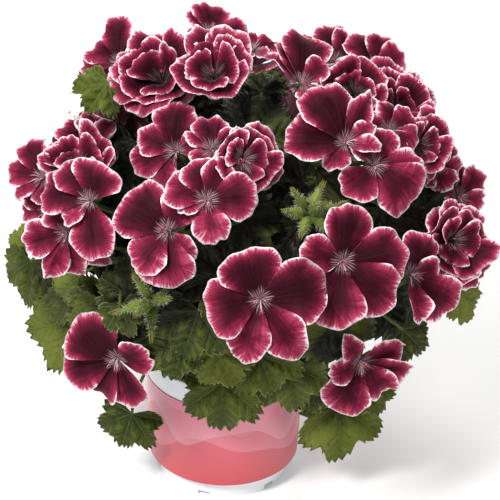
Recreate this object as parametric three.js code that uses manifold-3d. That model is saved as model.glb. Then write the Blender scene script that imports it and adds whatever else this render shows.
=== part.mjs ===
// A potted regal geranium (Pelargonium): a round plastic pot with a printed band, potting soil, leafy stems
// that stand in holes in the soil, toothed leaves on petioles, and domed heads of five-petalled blooms.
//
// Millimetres, +Z up, origin at the centre of the pot's flat foot, front towards -Y.
// Each leafy stem is one body with its leaves, flower stalks and green buds. Each flower head is one body of
// petals, pedicels and the hub that they part from, a hair gap off its stalk. Blades are thin lenses.

import * as THREE from "three";
import { mergeVertices } from "three/addons/utils/BufferGeometryUtils.js";
import Module from "manifold-3d";

const wasm = await Module();
wasm.setup();

const DEG = Math.PI / 180;
const GAP = 0.3;
const CLEAR = 0.4;

// Pot, band and soil
const POT_HEIGHT = 103;
const RIM_RADIUS = 60;
const RIM_HEIGHT = 17;
const RIM_WALL = 1.8;
const BODY_TOP_RADIUS = 58.2;
const BODY_LOW_RADIUS = 56.4;
const FOOT_RADIUS = 50.5;
const FOOT_HEIGHT = 15;
const POT_WALL = 1.6;
const POT_SIDES = 30;
const FOOT_NOTCHES = 6;
const FOOT_NOTCH = { width: 9, height: 4, depth: 9 };
const BAND = { low: 16.5, high: 85, thickness: 0.8 };
const SOIL_DEPTH_BELOW_RIM = 13;
const SOIL_BUMP = 1.6;

// The crown of the plant: the ellipsoid that the throats of the blooms lie on
const CROWN = {
  centre: new THREE.Vector3(14, -4, 212),
  half: new THREE.Vector3(146, 146, 112),
};

// The view that the picture places below are given in: 500 pixels a side, from the front and above
const VIEW = {
  target: new THREE.Vector3(15.5, 0, 184),
  distance: 1000,
  pitch: 28 * DEG,
  roll: 2 * DEG,
  focal: 1389,
  middle: 250,
};

// Blooms and petals
const PETAL_LENGTH = 36;
const PETAL_HALF_WIDTH = 0.54;
const PETAL_HALF_THICKNESS = 0.7;
const PETAL_WIDEST = 0.6;
const CLAW_WIDTH = 0.1;
const SHINGLE = 0.16;
const HEART_RADIUS = 3;
const HEART_TOP = 0.8;
const FACE_VIEWER = 0.48;
const INNER_CUP = { radius: 0.36, height: 0.42, thickness: 0.8, sides: 6 };
const PEDICEL_RADIUS = 1;
const STRAIGHT_PEDICEL = 32 * DEG;
const NECK_DEPTH = 8;
const NECK_RADIUS = 1.5;
const PEDICEL_LENGTH = 38;
const HUB_RADIUS = 4.5;

// Leaves
const LEAF_RADIUS = 40;
const LEAF_HALF_ANGLE = 122 * DEG;
const LEAF_HALF_THICKNESS = 0.6;
const LEAF_MIDDLE = 0.42;
const KEPT_SHARE = 0.45;
const PETIOLE_RADIUS = 1.4;
const PETIOLE_SHARES = [0.5, 1];

// Ways for a petiole to run: how much later it leaves the stem, and how far it arrives sideways and
// from above
const PETIOLE_BENDS = [
  { later: 0, sideways: 0, drop: 0 },
  { later: -0.12, sideways: 0.4, drop: 0 },
  { later: -0.12, sideways: -0.4, drop: 0 },
  { later: 0.12, sideways: 0.5, drop: 0.5 },
  { later: 0.12, sideways: -0.5, drop: 0.5 },
  { later: 0.25, sideways: 0, drop: 2 },
  { later: -0.25, sideways: 0, drop: 0 },
];

// Stems
const STEM_RADIUS = 4.2;
const STEM_TIP_RADIUS = 2.6;
const STALK_RADIUS = 1.7;
const STEM_DEPTH_IN_SOIL = 24;
const STEM_REACH = 0.45;

// Each stem: where it stands in the soil, and the direction of its tip in the crown. Azimuth runs from the
// front to the right.
const STEMS = [
  { name: "front", soil: [2, -22], azimuth: 5, elevation: -12 },
  { name: "front_right", soil: [22, -12], azimuth: 62, elevation: -2 },
  { name: "back_right", soil: [22, 14], azimuth: 122, elevation: 12 },
  { name: "back", soil: [0, 24], azimuth: 180, elevation: 12 },
  { name: "back_left", soil: [-22, 14], azimuth: 238, elevation: 12 },
  { name: "front_left", soil: [-22, -12], azimuth: 298, elevation: -2 },
  { name: "top_left", soil: [-8, 2], azimuth: 325, elevation: 62 },
  { name: "top_right", soil: [9, 3], azimuth: 50, elevation: 62 },
];

// Flower heads seen from the front. Each bloom: the place of its throat in the picture, and the directions
// of its petals there, in degrees from the right, counted upwards, some with their length and width against
// the usual ones. "lift" moves a bloom out of the crown, "lean" turns it to the right and up, and "cup"
// makes its bowl deeper.
const FRONT_HEADS = [
  {
    name: "left",
    blooms: [
      {
        at: [90, 201],
        petals: [
          [66, 0.78, 1.25], [118, 0.92, 1.05], [168, 1.08, 0.8],
          [226, 0.66, 0.7], [285, 1.14, 0.76],
        ],
        lift: 1.05,
        size: 0.95,
      },
      {
        at: [68, 232],
        petals: [
          [110, 0.7, 1], [189, 0.98, 0.85], [249, 1.15, 0.58],
          [284, 1.02, 0.66], [326, 1.15, 0.6],
        ],
        lean: [-12, -14],
        lift: 1.0,
        size: 0.84,
      },
      {
        at: [80, 173],
        petals: [[50, 0.8, 1], [110, 0.95, 1.2], [160, 0.9, 1], [235, 0.7, 1], [310, 0.7, 1]],
        lean: [-14, 38],
        lift: 0.99,
        size: 0.84,
      },
      {
        at: [44, 178],
        petals: [[112, 1.12, 0.72], [165, 0.98, 0.95], [220, 0.9, 0.7], [290, 0.8, 1], [30, 0.8, 1]],
        lean: [-34, 12],
        lift: 0.99,
        size: 0.76,
      },
      {
        at: [48, 212],
        petals: [[130, 0.8, 0.9], [178, 0.98, 0.6], [212, 0.95, 0.8], [280, 0.7, 1], [20, 0.7, 1]],
        lean: [-36, -8],
        lift: 0.96,
        size: 0.72,
      },
      {
        at: [94, 149],
        petals: [[98, 1.05, 0.8], [62, 0.9, 0.6], [138, 0.98, 1.1], [215, 0.7, 1], [310, 0.7, 1]],
        lean: [0, 30],
        lift: 0.95,
        size: 0.78,
      },
    ],
  },
  {
    name: "far_left",
    blooms: [
      {
        at: [120, 64],
        petals: [[98, 1.4, 0.58], [140, 1.05, 0.95], [178, 1.15, 0.8], [212, 1.2, 0.7], [310, 0.6, 1]],
        lean: [-30, 24],
        lift: 0.98,
        size: 0.76,
      },
    ],
  },
  {
    name: "top",
    blooms: [
      {
        at: [214, 81],
        petals: [
          [104, 1.12, 0.85], [62, 1.05, 0.95], [15, 0.88, 0.9],
          [172, 0.85, 0.8], [245, 0.66, 1], [305, 0.7, 1],
        ],
        cup: 0.35,
        lift: 1.02,
        size: 0.9,
        double: true,
      },
      {
        at: [163, 85],
        petals: [100, 152, 205, 258, 312, 45],
        cup: 0.25,
        lift: 1.02,
        size: 0.94,
        double: true,
      },
      {
        at: [210, 34],
        petals: [[88, 0.95, 1.2], [132, 1.0, 0.75], [350, 1.1, 1], [210, 0.7, 1], [280, 0.7, 1]],
        lean: [4, 36],
        lift: 0.98,
        size: 0.7,
      },
      {
        at: [252, 52],
        petals: [[25, 1.0, 0.85], [70, 0.8, 0.8], [330, 0.6, 1], [130, 0.6, 1], [230, 0.6, 1]],
        lean: [10, 44],
        lift: 0.95,
        size: 0.6,
      },
      { at: [134, 106], petals: [130, 190, 250, 310, 60], lean: [-44, -30], lift: 0.95, size: 0.6 },
    ],
  },
  {
    name: "middle_left",
    blooms: [
      {
        at: [207, 201],
        petals: [
          [106, 0.97, 0.95], [162, 0.98, 0.85], [205, 0.7, 0.65],
          [282, 1, 0.82], [8, 1.1, 0.85], [66, 1.05, 0.7],
        ],
        lift: 1.08,
        size: 0.78,
      },
      {
        at: [212, 150],
        petals: [[97, 1.05, 1.05], [150, 0.95, 0.6], [30, 0.95, 0.7], [230, 0.7, 1], [310, 0.7, 1]],
        lean: [0, 24],
        lift: 0.99,
        size: 0.64,
      },
      {
        at: [176, 152],
        petals: [
          [90, 1.12, 0.75], [155, 0.95, 0.78], [191, 1.02, 0.85],
          [246, 0.9, 0.75], [20, 0.7, 0.8],
        ],
        lean: [-16, 8],
        lift: 0.99,
        size: 0.82,
      },
      {
        at: [240, 160],
        petals: [[46, 1.12, 0.9], [334, 1.2, 0.75], [285, 0.8, 1], [100, 0.9, 0.6], [200, 0.7, 1]],
        lean: [18, 4],
        lift: 0.98,
        size: 0.7,
      },
      {
        at: [168, 231],
        petals: [
          [145, 1.0, 1.05], [270, 1.02, 0.96], [234, 0.95, 0.8],
          [318, 0.72, 0.6], [60, 0.8, 0.8],
        ],
        lift: 1.02,
        size: 0.98,
      },
    ],
  },
  {
    name: "top_right",
    blooms: [
      {
        at: [302, 84],
        petals: [[84, 1.12, 0.82], [112, 1.05, 0.6], [142, 0.9, 0.42], [40, 0.6, 0.8], [290, 0.5, 1]],
        lift: 1.0,
        size: 0.96,
      },
      {
        at: [334, 63],
        petals: [[98, 1.15, 0.9], [135, 1.1, 0.65], [50, 0.95, 1], [200, 0.7, 1], [290, 0.7, 1]],
        lean: [0, 34],
        lift: 0.96,
        size: 0.76,
      },
      {
        at: [374, 67],
        petals: [[75, 1.0, 0.85], [125, 1.0, 0.9], [20, 0.85, 1], [200, 0.7, 1], [290, 0.7, 1]],
        lean: [14, 32],
        lift: 0.96,
        size: 0.76,
      },
      {
        at: [395, 115],
        petals: [
          [88, 1.1, 1.1], [42, 1.0, 1], [135, 0.95, 0.9],
          [110, 1.4, 0.75], [210, 0.6, 1], [320, 0.6, 1],
        ],
        lean: [10, 26],
        cup: 0.2,
        lift: 0.98,
        size: 0.84,
      },
      {
        at: [354, 96],
        petals: [[150, 1.0, 0.8], [105, 1.0, 0.85], [55, 0.85, 0.9], [215, 0.7, 1], [300, 0.7, 1]],
        lean: [4, 14],
        cup: 0.2,
        lift: 1.0,
        size: 0.78,
      },
    ],
  },
  {
    name: "middle_right",
    blooms: [
      {
        at: [345, 143],
        petals: [
          [178, 1.08, 0.92], [121, 1.13, 0.9], [64, 0.95, 0.5],
          [34, 0.64, 0.6], [240, 0.6, 0.8], [350, 0.62, 0.6],
        ],
        lift: 1.08,
        size: 1.04,
      },
      {
        at: [374, 166],
        petals: [
          [229, 0.94, 0.85], [317, 1.0, 0.98], [352, 0.88, 0.8],
          [128, 0.66, 0.8], [72, 0.78, 0.75],
        ],
        lift: 1.07,
        size: 0.96,
      },
      { at: [388, 132], petals: [80, 30, 330, 250, 165], lift: 0.98, size: 0.64 },
      {
        at: [414, 146],
        petals: [[62, 1.25, 0.65], [22, 1.0, 0.9], [345, 1.15, 0.6], [306, 1.2, 0.5], [120, 1.05, 0.55]],
        lean: [26, 4],
        lift: 0.97,
        size: 0.72,
      },
      { at: [434, 164], petals: [95, 20, 345, 300, 215], lean: [34, -4], lift: 0.97, size: 0.56 },
    ],
  },
  {
    name: "right",
    blooms: [
      {
        at: [342, 262],
        petals: [
          [8, 1.05, 0.92], [320, 1.12, 0.85], [258, 1.08, 0.84],
          [86, 0.98, 0.82], [168, 0.86, 0.84],
        ],
        lift: 1.06,
        size: 1.02,
      },
      {
        at: [410, 275],
        petals: [
          [84, 0.92, 1.05], [132, 0.7, 0.7], [322, 1.15, 0.86],
          [283, 1.08, 0.42], [25, 0.66, 0.8],
        ],
        lift: 1.02,
        size: 0.9,
      },
    ],
  },
  {
    name: "far_right",
    blooms: [
      {
        at: [447, 241],
        petals: [150, 95, 40, 335, 270, 210],
        cup: 0.2,
        lift: 1.02,
        size: 0.81,
        double: true,
      },
      {
        at: [458, 197],
        petals: [[95, 1.2, 0.5], [50, 1.1, 0.8], [150, 0.75, 1], [350, 0.85, 0.8], [250, 0.7, 1]],
        lean: [28, 8],
        lift: 0.97,
        size: 0.68,
      },
      { at: [466, 262], petals: [20, 330, 268, 210, 100], lean: [30, -14], lift: 0.96, size: 0.56 },
    ],
  },
  {
    name: "centre",
    blooms: [
      {
        at: [260, 299],
        petals: [
          [110, 0.88, 1.05], [192, 0.88, 1.1], [255, 1.06, 0.7],
          [307, 1.12, 0.7], [17, 1.06, 1.0],
        ],
        lift: 1.1,
        size: 1.07,
      },
    ],
  },
  {
    name: "low_left",
    blooms: [
      {
        at: [117, 358],
        petals: [
          [122, 0.98, 1.08], [187, 1.12, 0.84], [233, 1.05, 0.78],
          [293, 1.0, 0.86], [18, 0.76, 1.02],
        ],
        lift: 1.04,
        size: 1.05,
      },
    ],
  },
  {
    name: "low_right",
    blooms: [
      {
        at: [360, 361],
        petals: [
          [34, 0.9, 0.74], [356, 1.05, 0.55], [315, 0.86, 0.7],
          [249, 1.1, 0.8], [200, 0.72, 0.74], [127, 0.78, 0.6],
        ],
        lift: 1.03,
        size: 0.98,
      },
    ],
  },
];

// Blooms round the back, in rows. Those of an upper and those of a lower pair of rows within a sector make
// a head.
const BACK_ROWS = [
  { elevation: 57, from: 122, to: 238, count: 3, tier: "upper" },
  { elevation: 33, from: 106, to: 252, count: 5, tier: "upper" },
  { elevation: 9, from: 100, to: 260, count: 6, tier: "lower" },
  { elevation: -15, from: 114, to: 246, count: 4, tier: "lower" },
];
const BACK_SECTORS = [95, 137, 180, 223, 265];
const BACK_SIZE = 0.94;

// Nudging blooms apart where their petals would cross
const NUDGE_ROUNDS = 200;
const BLOOM_SPACE = 7;
const LEAF_SPACE = 3;
const NUDGE_LIMIT = 30;
const NUDGE_SAMPLES = 12;

// Heads of closed green buds
const BUD_HEADS = [
  { name: "buds_middle", at: [309, 214], buds: 7, lift: 0.98 },
  { name: "buds_left", at: [152, 300], buds: 5, lift: 0.96 },
];
const BACK_BUD_HEADS = [
  { name: "buds_back", azimuth: 180, elevation: 16, buds: 4 },
  { name: "buds_right", azimuth: 92, elevation: 10, buds: 4 },
];
const BUD_LENGTH = 18.5;
const BUD_RADIUS = 3.7;

// Leaves that show from the front: the middle of the blade and the direction of its tip in the picture, its
// size against the usual one, and either how deep it lies in the crown or how far forward of the pot's axis
// it hangs
const FRONT_LEAVES = [
  { at: [222, 402], point: 268, size: 0.86, depth: -86 },
  { at: [224, 366], point: 300, size: 0.66, depth: -94 },
  { at: [266, 372], point: 290, size: 0.74, depth: -86 },
  { at: [292, 384], point: 285, size: 0.86, depth: -76 },
  { at: [341, 426], point: 274, size: 0.98, depth: -52 },
  { at: [370, 396], point: 300, size: 0.62, depth: -44 },
  { at: [320, 386], point: 250, size: 0.8, depth: -70 },
  { at: [127, 428], point: 250, size: 0.68, depth: -54 },
  { at: [62, 340], point: 240, size: 0.95, depth: -44 },
  { at: [92, 312], point: 215, size: 0.7, depth: -66 },
  { at: [27, 278], point: 250, size: 0.78, depth: -14 },
  { at: [20, 242], point: 160, size: 0.5, depth: 10 },
  { at: [118, 290], point: 150, size: 0.62, shell: 0.93 },
  { at: [124, 318], point: 285, size: 0.5, shell: 0.97 },
  { at: [192, 330], point: 250, size: 0.82, shell: 0.88 },
  { at: [168, 348], point: 205, size: 0.7, shell: 0.93 },
  { at: [394, 314], point: 290, size: 0.92, shell: 0.88 },
  { at: [468, 296], point: 345, size: 0.6, depth: -20 },
  { at: [412, 338], point: 320, size: 0.56, shell: 0.95 },
  { at: [232, 96], point: 250, size: 1.1, shell: 0.8 },
  { at: [264, 84], point: 75, size: 0.42, shell: 0.93 },
  { at: [262, 122], point: 60, size: 0.9, shell: 0.82 },
  { at: [99, 94], point: 235, size: 0.6, depth: -24 },
  { at: [128, 128], point: 300, size: 0.6, shell: 0.84 },
  { at: [256, 222], point: 0, size: 0.62, shell: 0.9 },
  { at: [288, 190], point: 200, size: 0.7, shell: 0.8 },
  { at: [292, 240], point: 235, size: 0.6, shell: 0.86 },
  { at: [208, 262], point: 150, size: 0.9, shell: 0.82 },
  { at: [428, 196], point: 60, size: 0.5, shell: 0.9 },
  { at: [330, 334], point: 240, size: 0.9, shell: 0.84 },
  { at: [143, 338], point: 205, size: 0.7, depth: -50 },
  { at: [206, 92], point: 230, size: 0.8, shell: 0.84 },
  { at: [70, 284], point: 215, size: 0.72, shell: 0.9 },
  { at: [128, 160], point: 250, size: 0.8, shell: 0.8 },
  { at: [392, 226], point: 300, size: 0.8, shell: 0.82 },
  { at: [152, 292], point: 220, size: 0.9, shell: 0.78 },
  { at: [100, 332], point: 240, size: 0.8, shell: 0.84 },
  { at: [200, 304], point: 270, size: 0.8, shell: 0.8 },
  { at: [64, 306], point: 230, size: 0.6, depth: -40 },
];

// Leaves that fill the crown, in rings: an outer skirt round the sides and back, and an inner layer below
// the heads
const LEAF_RINGS = [
  { count: 8, from: 84, to: 276, elevation: -30, shell: 0.84, size: 1.15 },
  { count: 7, from: 96, to: 264, elevation: -10, shell: 0.8, size: 1 },
  { count: 6, from: 20, to: 320, elevation: 10, shell: 0.56, size: 1 },
  { count: 4, from: 45, to: 315, elevation: 42, shell: 0.58, size: 1 },
];

const COLOURS = {
  petal: [0x8a2145, 0.55],
  green: [0x4a5c22, 0.6],
  pot: [0xf0f0f2, 0.35],
  band: [0xd4606c, 0.45],
  soil: [0x2b211b, 0.95],
};

// First seed of each kind of repeat
const SEEDS = {
  frontBloom: 1000,
  frontLeaf: 3000,
  ringLeaf: 4000,
  ringLeafForm: 5000,
  backPlace: 7000,
  backBloom: 8000,
  budHead: 9000,
  backBudHead: 9100,
};

// A seeded stream of numbers from 0 to 1
function stream(seed) {
  let state = seed >>> 0;
  return () => {
    state = (Math.imul(state, 1664525) + 1013904223) >>> 0;
    return state / 4294967296;
  };
}

const swing = (draw, reach) => (2 * draw() - 1) * reach;
const vec = (x, y, z) => new THREE.Vector3(x, y, z);
const mix = (a, b, share) => a.clone().lerp(b, share);

// The view's own axes
const FORWARD = vec(0, Math.cos(VIEW.pitch), -Math.sin(VIEW.pitch));
const RIGHT = vec(1, 0, 0);
const UP = vec(0, Math.sin(VIEW.pitch), Math.cos(VIEW.pitch));
const EYE = VIEW.target.clone().addScaledVector(FORWARD, -VIEW.distance);

// The picture's two directions, turned by the view's roll, as x and y along RIGHT and UP
function unroll(x, y) {
  const [cos, sin] = [Math.cos(VIEW.roll), Math.sin(VIEW.roll)];
  return [x * cos - y * sin, x * sin + y * cos];
}

// The direction from the eye through a place in the picture
function rayThrough([column, row]) {
  const [x, y] = unroll(column - VIEW.middle, VIEW.middle - row);
  const ahead = FORWARD.clone().multiplyScalar(VIEW.focal);
  return ahead.addScaledVector(RIGHT, x).addScaledVector(UP, y).normalize();
}

// The first point of the crown, grown by lift, that the ray meets, or the point where it passes nearest
function onCrown(at, lift) {
  const ray = rayThrough(at);
  const half = CROWN.half.clone().multiplyScalar(lift);
  const start = EYE.clone().sub(CROWN.centre).divide(half);
  const step = ray.clone().divide(half);
  const nearest = -start.dot(step) / step.lengthSq();
  const miss = start.clone().addScaledVector(step, nearest).lengthSq();
  const back = miss < 1 ? Math.sqrt((1 - miss) / step.lengthSq()) : 0;
  return EYE.clone().addScaledVector(ray, nearest - back);
}

// The point of the ray that lies at a given distance along Y
function atDepth(at, depth) {
  const ray = rayThrough(at);
  return EYE.clone().addScaledVector(ray, (depth - EYE.y) / ray.y);
}

function crownPoint(azimuth, elevation, shell) {
  const [a, e] = [azimuth * DEG, elevation * DEG];
  const direction = vec(Math.sin(a) * Math.cos(e), -Math.cos(a) * Math.cos(e), Math.sin(e));
  return direction.multiply(CROWN.half).multiplyScalar(shell).add(CROWN.centre);
}

function crownNormal(point) {
  return point.clone().sub(CROWN.centre).divide(CROWN.half).divide(CROWN.half).normalize();
}

// Right, up and facing axes of a thing that faces along axis
function facingFrame(axis) {
  const right = UP.clone().cross(axis).normalize();
  return { right, up: axis.clone().cross(right).normalize(), axis };
}

// A closed solid from vertices and triangles
function toSolid(points, triangles) {
  const geometry = new THREE.BufferGeometry().setFromPoints(points);
  geometry.setIndex(triangles.flat());
  return geometryToSolid(geometry);
}

function geometryToSolid(geometry) {
  const bare = geometry.index ? geometry.toNonIndexed() : geometry.clone();
  for (const name of Object.keys(bare.attributes)) if (name !== "position") bare.deleteAttribute(name);
  const merged = mergeVertices(bare, 1e-4);
  return new wasm.Manifold(
    new wasm.Mesh({
      numProp: 3,
      vertProperties: new Float32Array(merged.attributes.position.array),
      triVerts: new Uint32Array(merged.index.array),
    }),
  );
}

function join(solids) {
  return wasm.Manifold.union(solids);
}

// A closed surface that is built up from rings of points. Each ring runs the same way round, and a ring is
// a list of the places of its points in the list of all points.
function startShell() {
  const points = [];
  const triangles = [];
  const add = (point) => points.push(point) - 1;
  const ring = (places) => places.map(add);
  const bridge = (from, to) =>
    from.forEach((a, k) => {
      const next = (k + 1) % from.length;
      triangles.push([a, from[next], to[next]], [a, to[next], to[k]]);
    });
  const cap = (ids) => {
    for (let k = 1; k < ids.length - 1; k++) triangles.push([ids[0], ids[k], ids[k + 1]]);
  };
  return { triangles, add, ring, bridge, cap, solid: () => toSolid(points, triangles) };
}

// Points of a ring about a centre, square to a direction, counter-clockwise when seen against it
function ringAbout(centre, direction, radius, sides, turn = 0) {
  const { right, up } = facingFrame(direction);
  return Array.from({ length: sides }, (_, k) => {
    const angle = turn + (2 * Math.PI * k) / sides;
    const across = right.clone().multiplyScalar(Math.cos(angle)).addScaledVector(up, Math.sin(angle));
    return across.multiplyScalar(radius).add(centre);
  });
}

// A round bar through a row of centres, with a radius at each
function bar(centres, radii, sides, grow = 0) {
  const shell = startShell();
  const last = centres.length - 1;
  const rings = centres.map((centre, i) => {
    const ahead = centres[Math.min(i + 1, last)].clone().sub(centres[Math.max(i - 1, 0)]).normalize();
    return shell.ring(ringAbout(centre, ahead, radii[i] + grow, sides));
  });
  shell.cap([...rings[0]].reverse());
  for (let i = 0; i < last; i++) shell.bridge(rings[i], rings[i + 1]);
  shell.cap(rings[last]);
  return shell.solid();
}

function barAlong(curve, startRadius, endRadius, steps, sides, grow = 0) {
  const shares = Array.from({ length: steps + 1 }, (_, i) => i / steps);
  const radii = shares.map((share) => THREE.MathUtils.lerp(startRadius, endRadius, share));
  return bar(shares.map((share) => curve.getPointAt(share)), radii, sides, grow);
}

// Half the width of a petal at a share of its length: a narrow claw, then a broad round blade
function petalWidth(along) {
  if (along > PETAL_WIDEST) {
    const beyond = (along - PETAL_WIDEST) / (1 - PETAL_WIDEST);
    return Math.sqrt(Math.max(0, 1 - beyond ** 2));
  }
  return CLAW_WIDTH + (1 - CLAW_WIDTH) * Math.sin((Math.PI / 2) * (along / PETAL_WIDEST)) ** 1.8;
}

// How high a face stands at a place in its plane. A bloom is a shallow cup with a ruffle that grows
// outwards.
function faceHeight(bloom, x, y) {
  if (!bloom.petals) {
    const ahead = x + LEAF_MIDDLE * bloom.radius;
    return leafHeight(bloom, Math.atan2(y, ahead), Math.hypot(y, ahead) / bloom.radius);
  }
  const reach = Math.hypot(x, y) / bloom.reach;
  const wave = Math.sin(bloom.waves * Math.atan2(y, x) + bloom.phase);
  const ruffle = bloom.ruffle * Math.min(1.2, reach) ** 3 * wave;
  return bloom.reach * (bloom.rise * reach - bloom.bend * reach * reach) + ruffle;
}

function bloomPoint(bloom, x, y, z) {
  const { right, up, axis } = bloom.frame;
  return bloom.throat.clone().addScaledVector(right, x).addScaledVector(up, y).addScaledVector(axis, z);
}

// Moves a point a little further from the middle of its blade
function stretchFrom(middle, point, by) {
  const out = point.clone().sub(middle);
  return out.length() > by ? point.addScaledVector(out.normalize(), by) : point;
}

// The point of a petal at a share of its length and of its greatest half width. Each petal is tilted about
// its own length, so that one edge lies over its neighbour and the other under.
function petalPoint(bloom, petal, along, across, raise = 0) {
  const turn = petal.angle * DEG;
  const [out, side] = [along * petal.length, across * petal.halfWidth];
  const x = out * Math.cos(turn) - side * Math.sin(turn);
  const y = out * Math.sin(turn) + side * Math.cos(turn);
  const curl = petal.curl * Math.max(0, along - 0.5) ** 2 * petal.length;
  const z = faceHeight(bloom, x, y) + SHINGLE * side + curl + raise;
  return bloomPoint(bloom, x, y, z);
}

const PETAL_RIM = [0.24, 0.6, 0.9];

// A bloom, its calyx and its pedicel as one closed body: petals about a small heart whose corners lie
// between them, and a stalk that tapers from the heart to the hub, by way of a neck where it has to bend.
// A grown bloom is thicker and a little wider all over.
function bloomSolid(bloom, hub, grow = 0) {
  const petals = [...bloom.petals].sort((p, q) => p.angle - q.angle);
  const count = petals.length;
  const shell = startShell();
  const { triangles } = shell;
  const turns = petals.map((petal, i) => {
    const before = petals[(i + count - 1) % count].angle - (i ? 0 : 360);
    return (petal.angle + before) / 2;
  });
  const corner = (turn, radius, z) => {
    const [x, y] = [radius * Math.cos(turn * DEG), radius * Math.sin(turn * DEG)];
    return bloomPoint(bloom, x, y, z);
  };
  const tops = shell.ring(turns.map((turn) => corner(turn, HEART_RADIUS + grow, HEART_TOP + grow)));
  const lows = shell.ring(turns.map((turn) => corner(turn, HEART_RADIUS + grow, -HEART_TOP - grow)));
  petals.forEach((petal, i) => {
    const next = (i + 1) % count;
    const halfGaps = [petal.angle - turns[i], turns[next] + (next ? 0 : 360) - petal.angle];
    const place = (along, side, raise) => {
      const halfGap = halfGaps[side < 0 ? 0 : 1] * DEG;
      const room = along === PETAL_RIM[0] ? Math.tan(0.9 * halfGap) * along * petal.length : Infinity;
      const half = Math.min(petalWidth(along) * petal.halfWidth, room);
      const point = petalPoint(bloom, petal, along, (side * half) / petal.halfWidth, raise);
      const middle = petalPoint(bloom, petal, PETAL_WIDEST, 0, raise);
      return shell.add(stretchFrom(middle, point, 1.4 * grow));
    };
    const rimOf = (raise) => [
      ...PETAL_RIM.map((along) => place(along, -1, raise)),
      place(1, 0, raise),
      ...[...PETAL_RIM].reverse().map((along) => place(along, 1, raise)),
    ];
    const rim = rimOf(grow);
    const low = grow ? rimOf(-grow) : rim;
    const thickTop = place(PETAL_WIDEST, 0, PETAL_HALF_THICKNESS + grow);
    const thickLow = place(PETAL_WIDEST, 0, -PETAL_HALF_THICKNESS - grow);
    const upper = [tops[i], ...rim, tops[next]];
    const lower = [lows[i], ...low, lows[next]];
    upper.forEach((here, k) => {
      const after = (k + 1) % upper.length;
      triangles.push([thickTop, here, upper[after]], [thickLow, lower[after], lower[k]]);
      if (grow && after) {
        triangles.push([upper[after], here, lower[k]], [upper[after], lower[k], lower[after]]);
      }
    });
    if (!grow) triangles.push([tops[i], lows[i], rim[0]], [lows[next], tops[next], rim[rim.length - 1]]);
  });
  shell.cap(tops);
  const down = bloom.frame.axis.clone().negate();
  let stalk = hub.clone().sub(bloom.throat).normalize();
  const { right, up } = bloom.frame;
  const ringAt = (place, towards, radius) => {
    const turned = new THREE.Quaternion().setFromUnitVectors(down, towards);
    return shell.ring(
      [...turns].reverse().map((turn) => {
        const offset = right.clone().multiplyScalar(Math.cos(turn * DEG));
        offset.addScaledVector(up, Math.sin(turn * DEG)).applyQuaternion(turned);
        return place.clone().addScaledVector(offset, radius + grow);
      }),
    );
  };
  let above = [...lows].reverse();
  if (down.angleTo(stalk) > STRAIGHT_PEDICEL) {
    const neckPlace = bloom.throat.clone().addScaledVector(down, NECK_DEPTH);
    stalk = hub.clone().sub(neckPlace).normalize();
    const neck = ringAt(neckPlace, down.clone().add(stalk).normalize(), NECK_RADIUS);
    shell.bridge(above, neck);
    above = neck;
  }
  const foot = ringAt(hub.clone().addScaledVector(stalk, -0.4 * HUB_RADIUS), stalk, PEDICEL_RADIUS);
  shell.bridge(above, foot);
  shell.cap(foot);
  return shell.solid();
}

// The smaller petals that stand up within a half-double bloom, joined as a cup with a wavy lip
function innerCupSolid(bloom, grow = 0) {
  const { thickness, sides } = INNER_CUP;
  const [radius, height] = [INNER_CUP.radius * bloom.reach, INNER_CUP.height * bloom.reach];
  const shell = startShell();
  const rowOf = (reach, rise, wave) =>
    Array.from({ length: sides }, (_, k) => {
      const turn = ((k + 0.5 * draw()) * 2 * Math.PI) / sides;
      const z = rise + wave * (k % 2 ? 1 : -1);
      return bloomPoint(bloom, reach * Math.cos(turn), reach * Math.sin(turn), z);
    });
  let draw = stream(bloom.waves + 77);
  const half = thickness / 2 + grow;
  const outside = shell.ring(rowOf(radius + half, height + grow, 2.5));
  draw = stream(bloom.waves + 77);
  const inside = shell.ring(rowOf(radius - half, height + grow, 2.5));
  const base = shell.ring(ringAbout(bloomPoint(bloom, 0, 0, -0.4), bloom.frame.axis, 1.5 + grow, sides));
  const bottom = shell.ring(ringAbout(bloomPoint(bloom, 0, 0, 2), bloom.frame.axis, 1, sides));
  shell.cap([...base].reverse());
  shell.bridge(base, outside);
  shell.bridge(outside, inside);
  shell.bridge(inside, bottom);
  shell.cap(bottom);
  return outward(shell.solid());
}

// The petals of a bloom, a little unlike one another
function petalsOf(entry, draw) {
  const size = entry.size ?? 1;
  return entry.petals.map((given) => {
    const [turn, long = 1, wide = 1] = [given].flat();
    const angle = ((turn % 360) + 360) % 360;
    const length = PETAL_LENGTH * size * long * (1 + swing(draw, 0.06));
    const halfWidth = length * PETAL_HALF_WIDTH * wide * (1 + swing(draw, 0.08));
    return { angle, length, halfWidth, curl: swing(draw, 0.3) };
  });
}

// Places a bloom: its throat, the way it may be nudged, the frame it faces along, the form of its face and
// its petals
function placeBloom(entry, throat, seed) {
  const draw = stream(seed);
  const toEye = EYE.clone().sub(throat).normalize();
  const axis = crownNormal(throat);
  if (entry.lean) {
    const [right, up] = entry.lean.map((angle) => Math.tan(angle * DEG));
    axis.copy(toEye).addScaledVector(RIGHT, right).addScaledVector(UP, up);
  } else if (entry.at) axis.addScaledVector(toEye, FACE_VIEWER / (1 - FACE_VIEWER));
  axis.normalize();
  return {
    throat,
    reach: PETAL_LENGTH * (entry.size ?? 1),
    nudge: entry.at ? toEye : axis.clone(),
    shift: 0,
    frame: facingFrame(axis),
    rise: 0.5 + (entry.cup ?? 0) + swing(draw, 0.1),
    bend: 0.42 + swing(draw, 0.1),
    ruffle: 2 + swing(draw, 0.8),
    waves: 11 + Math.floor(4 * draw()),
    phase: draw() * 2 * Math.PI,
    petals: petalsOf(entry, draw),
    double: entry.double ?? false,
  };
}

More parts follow.
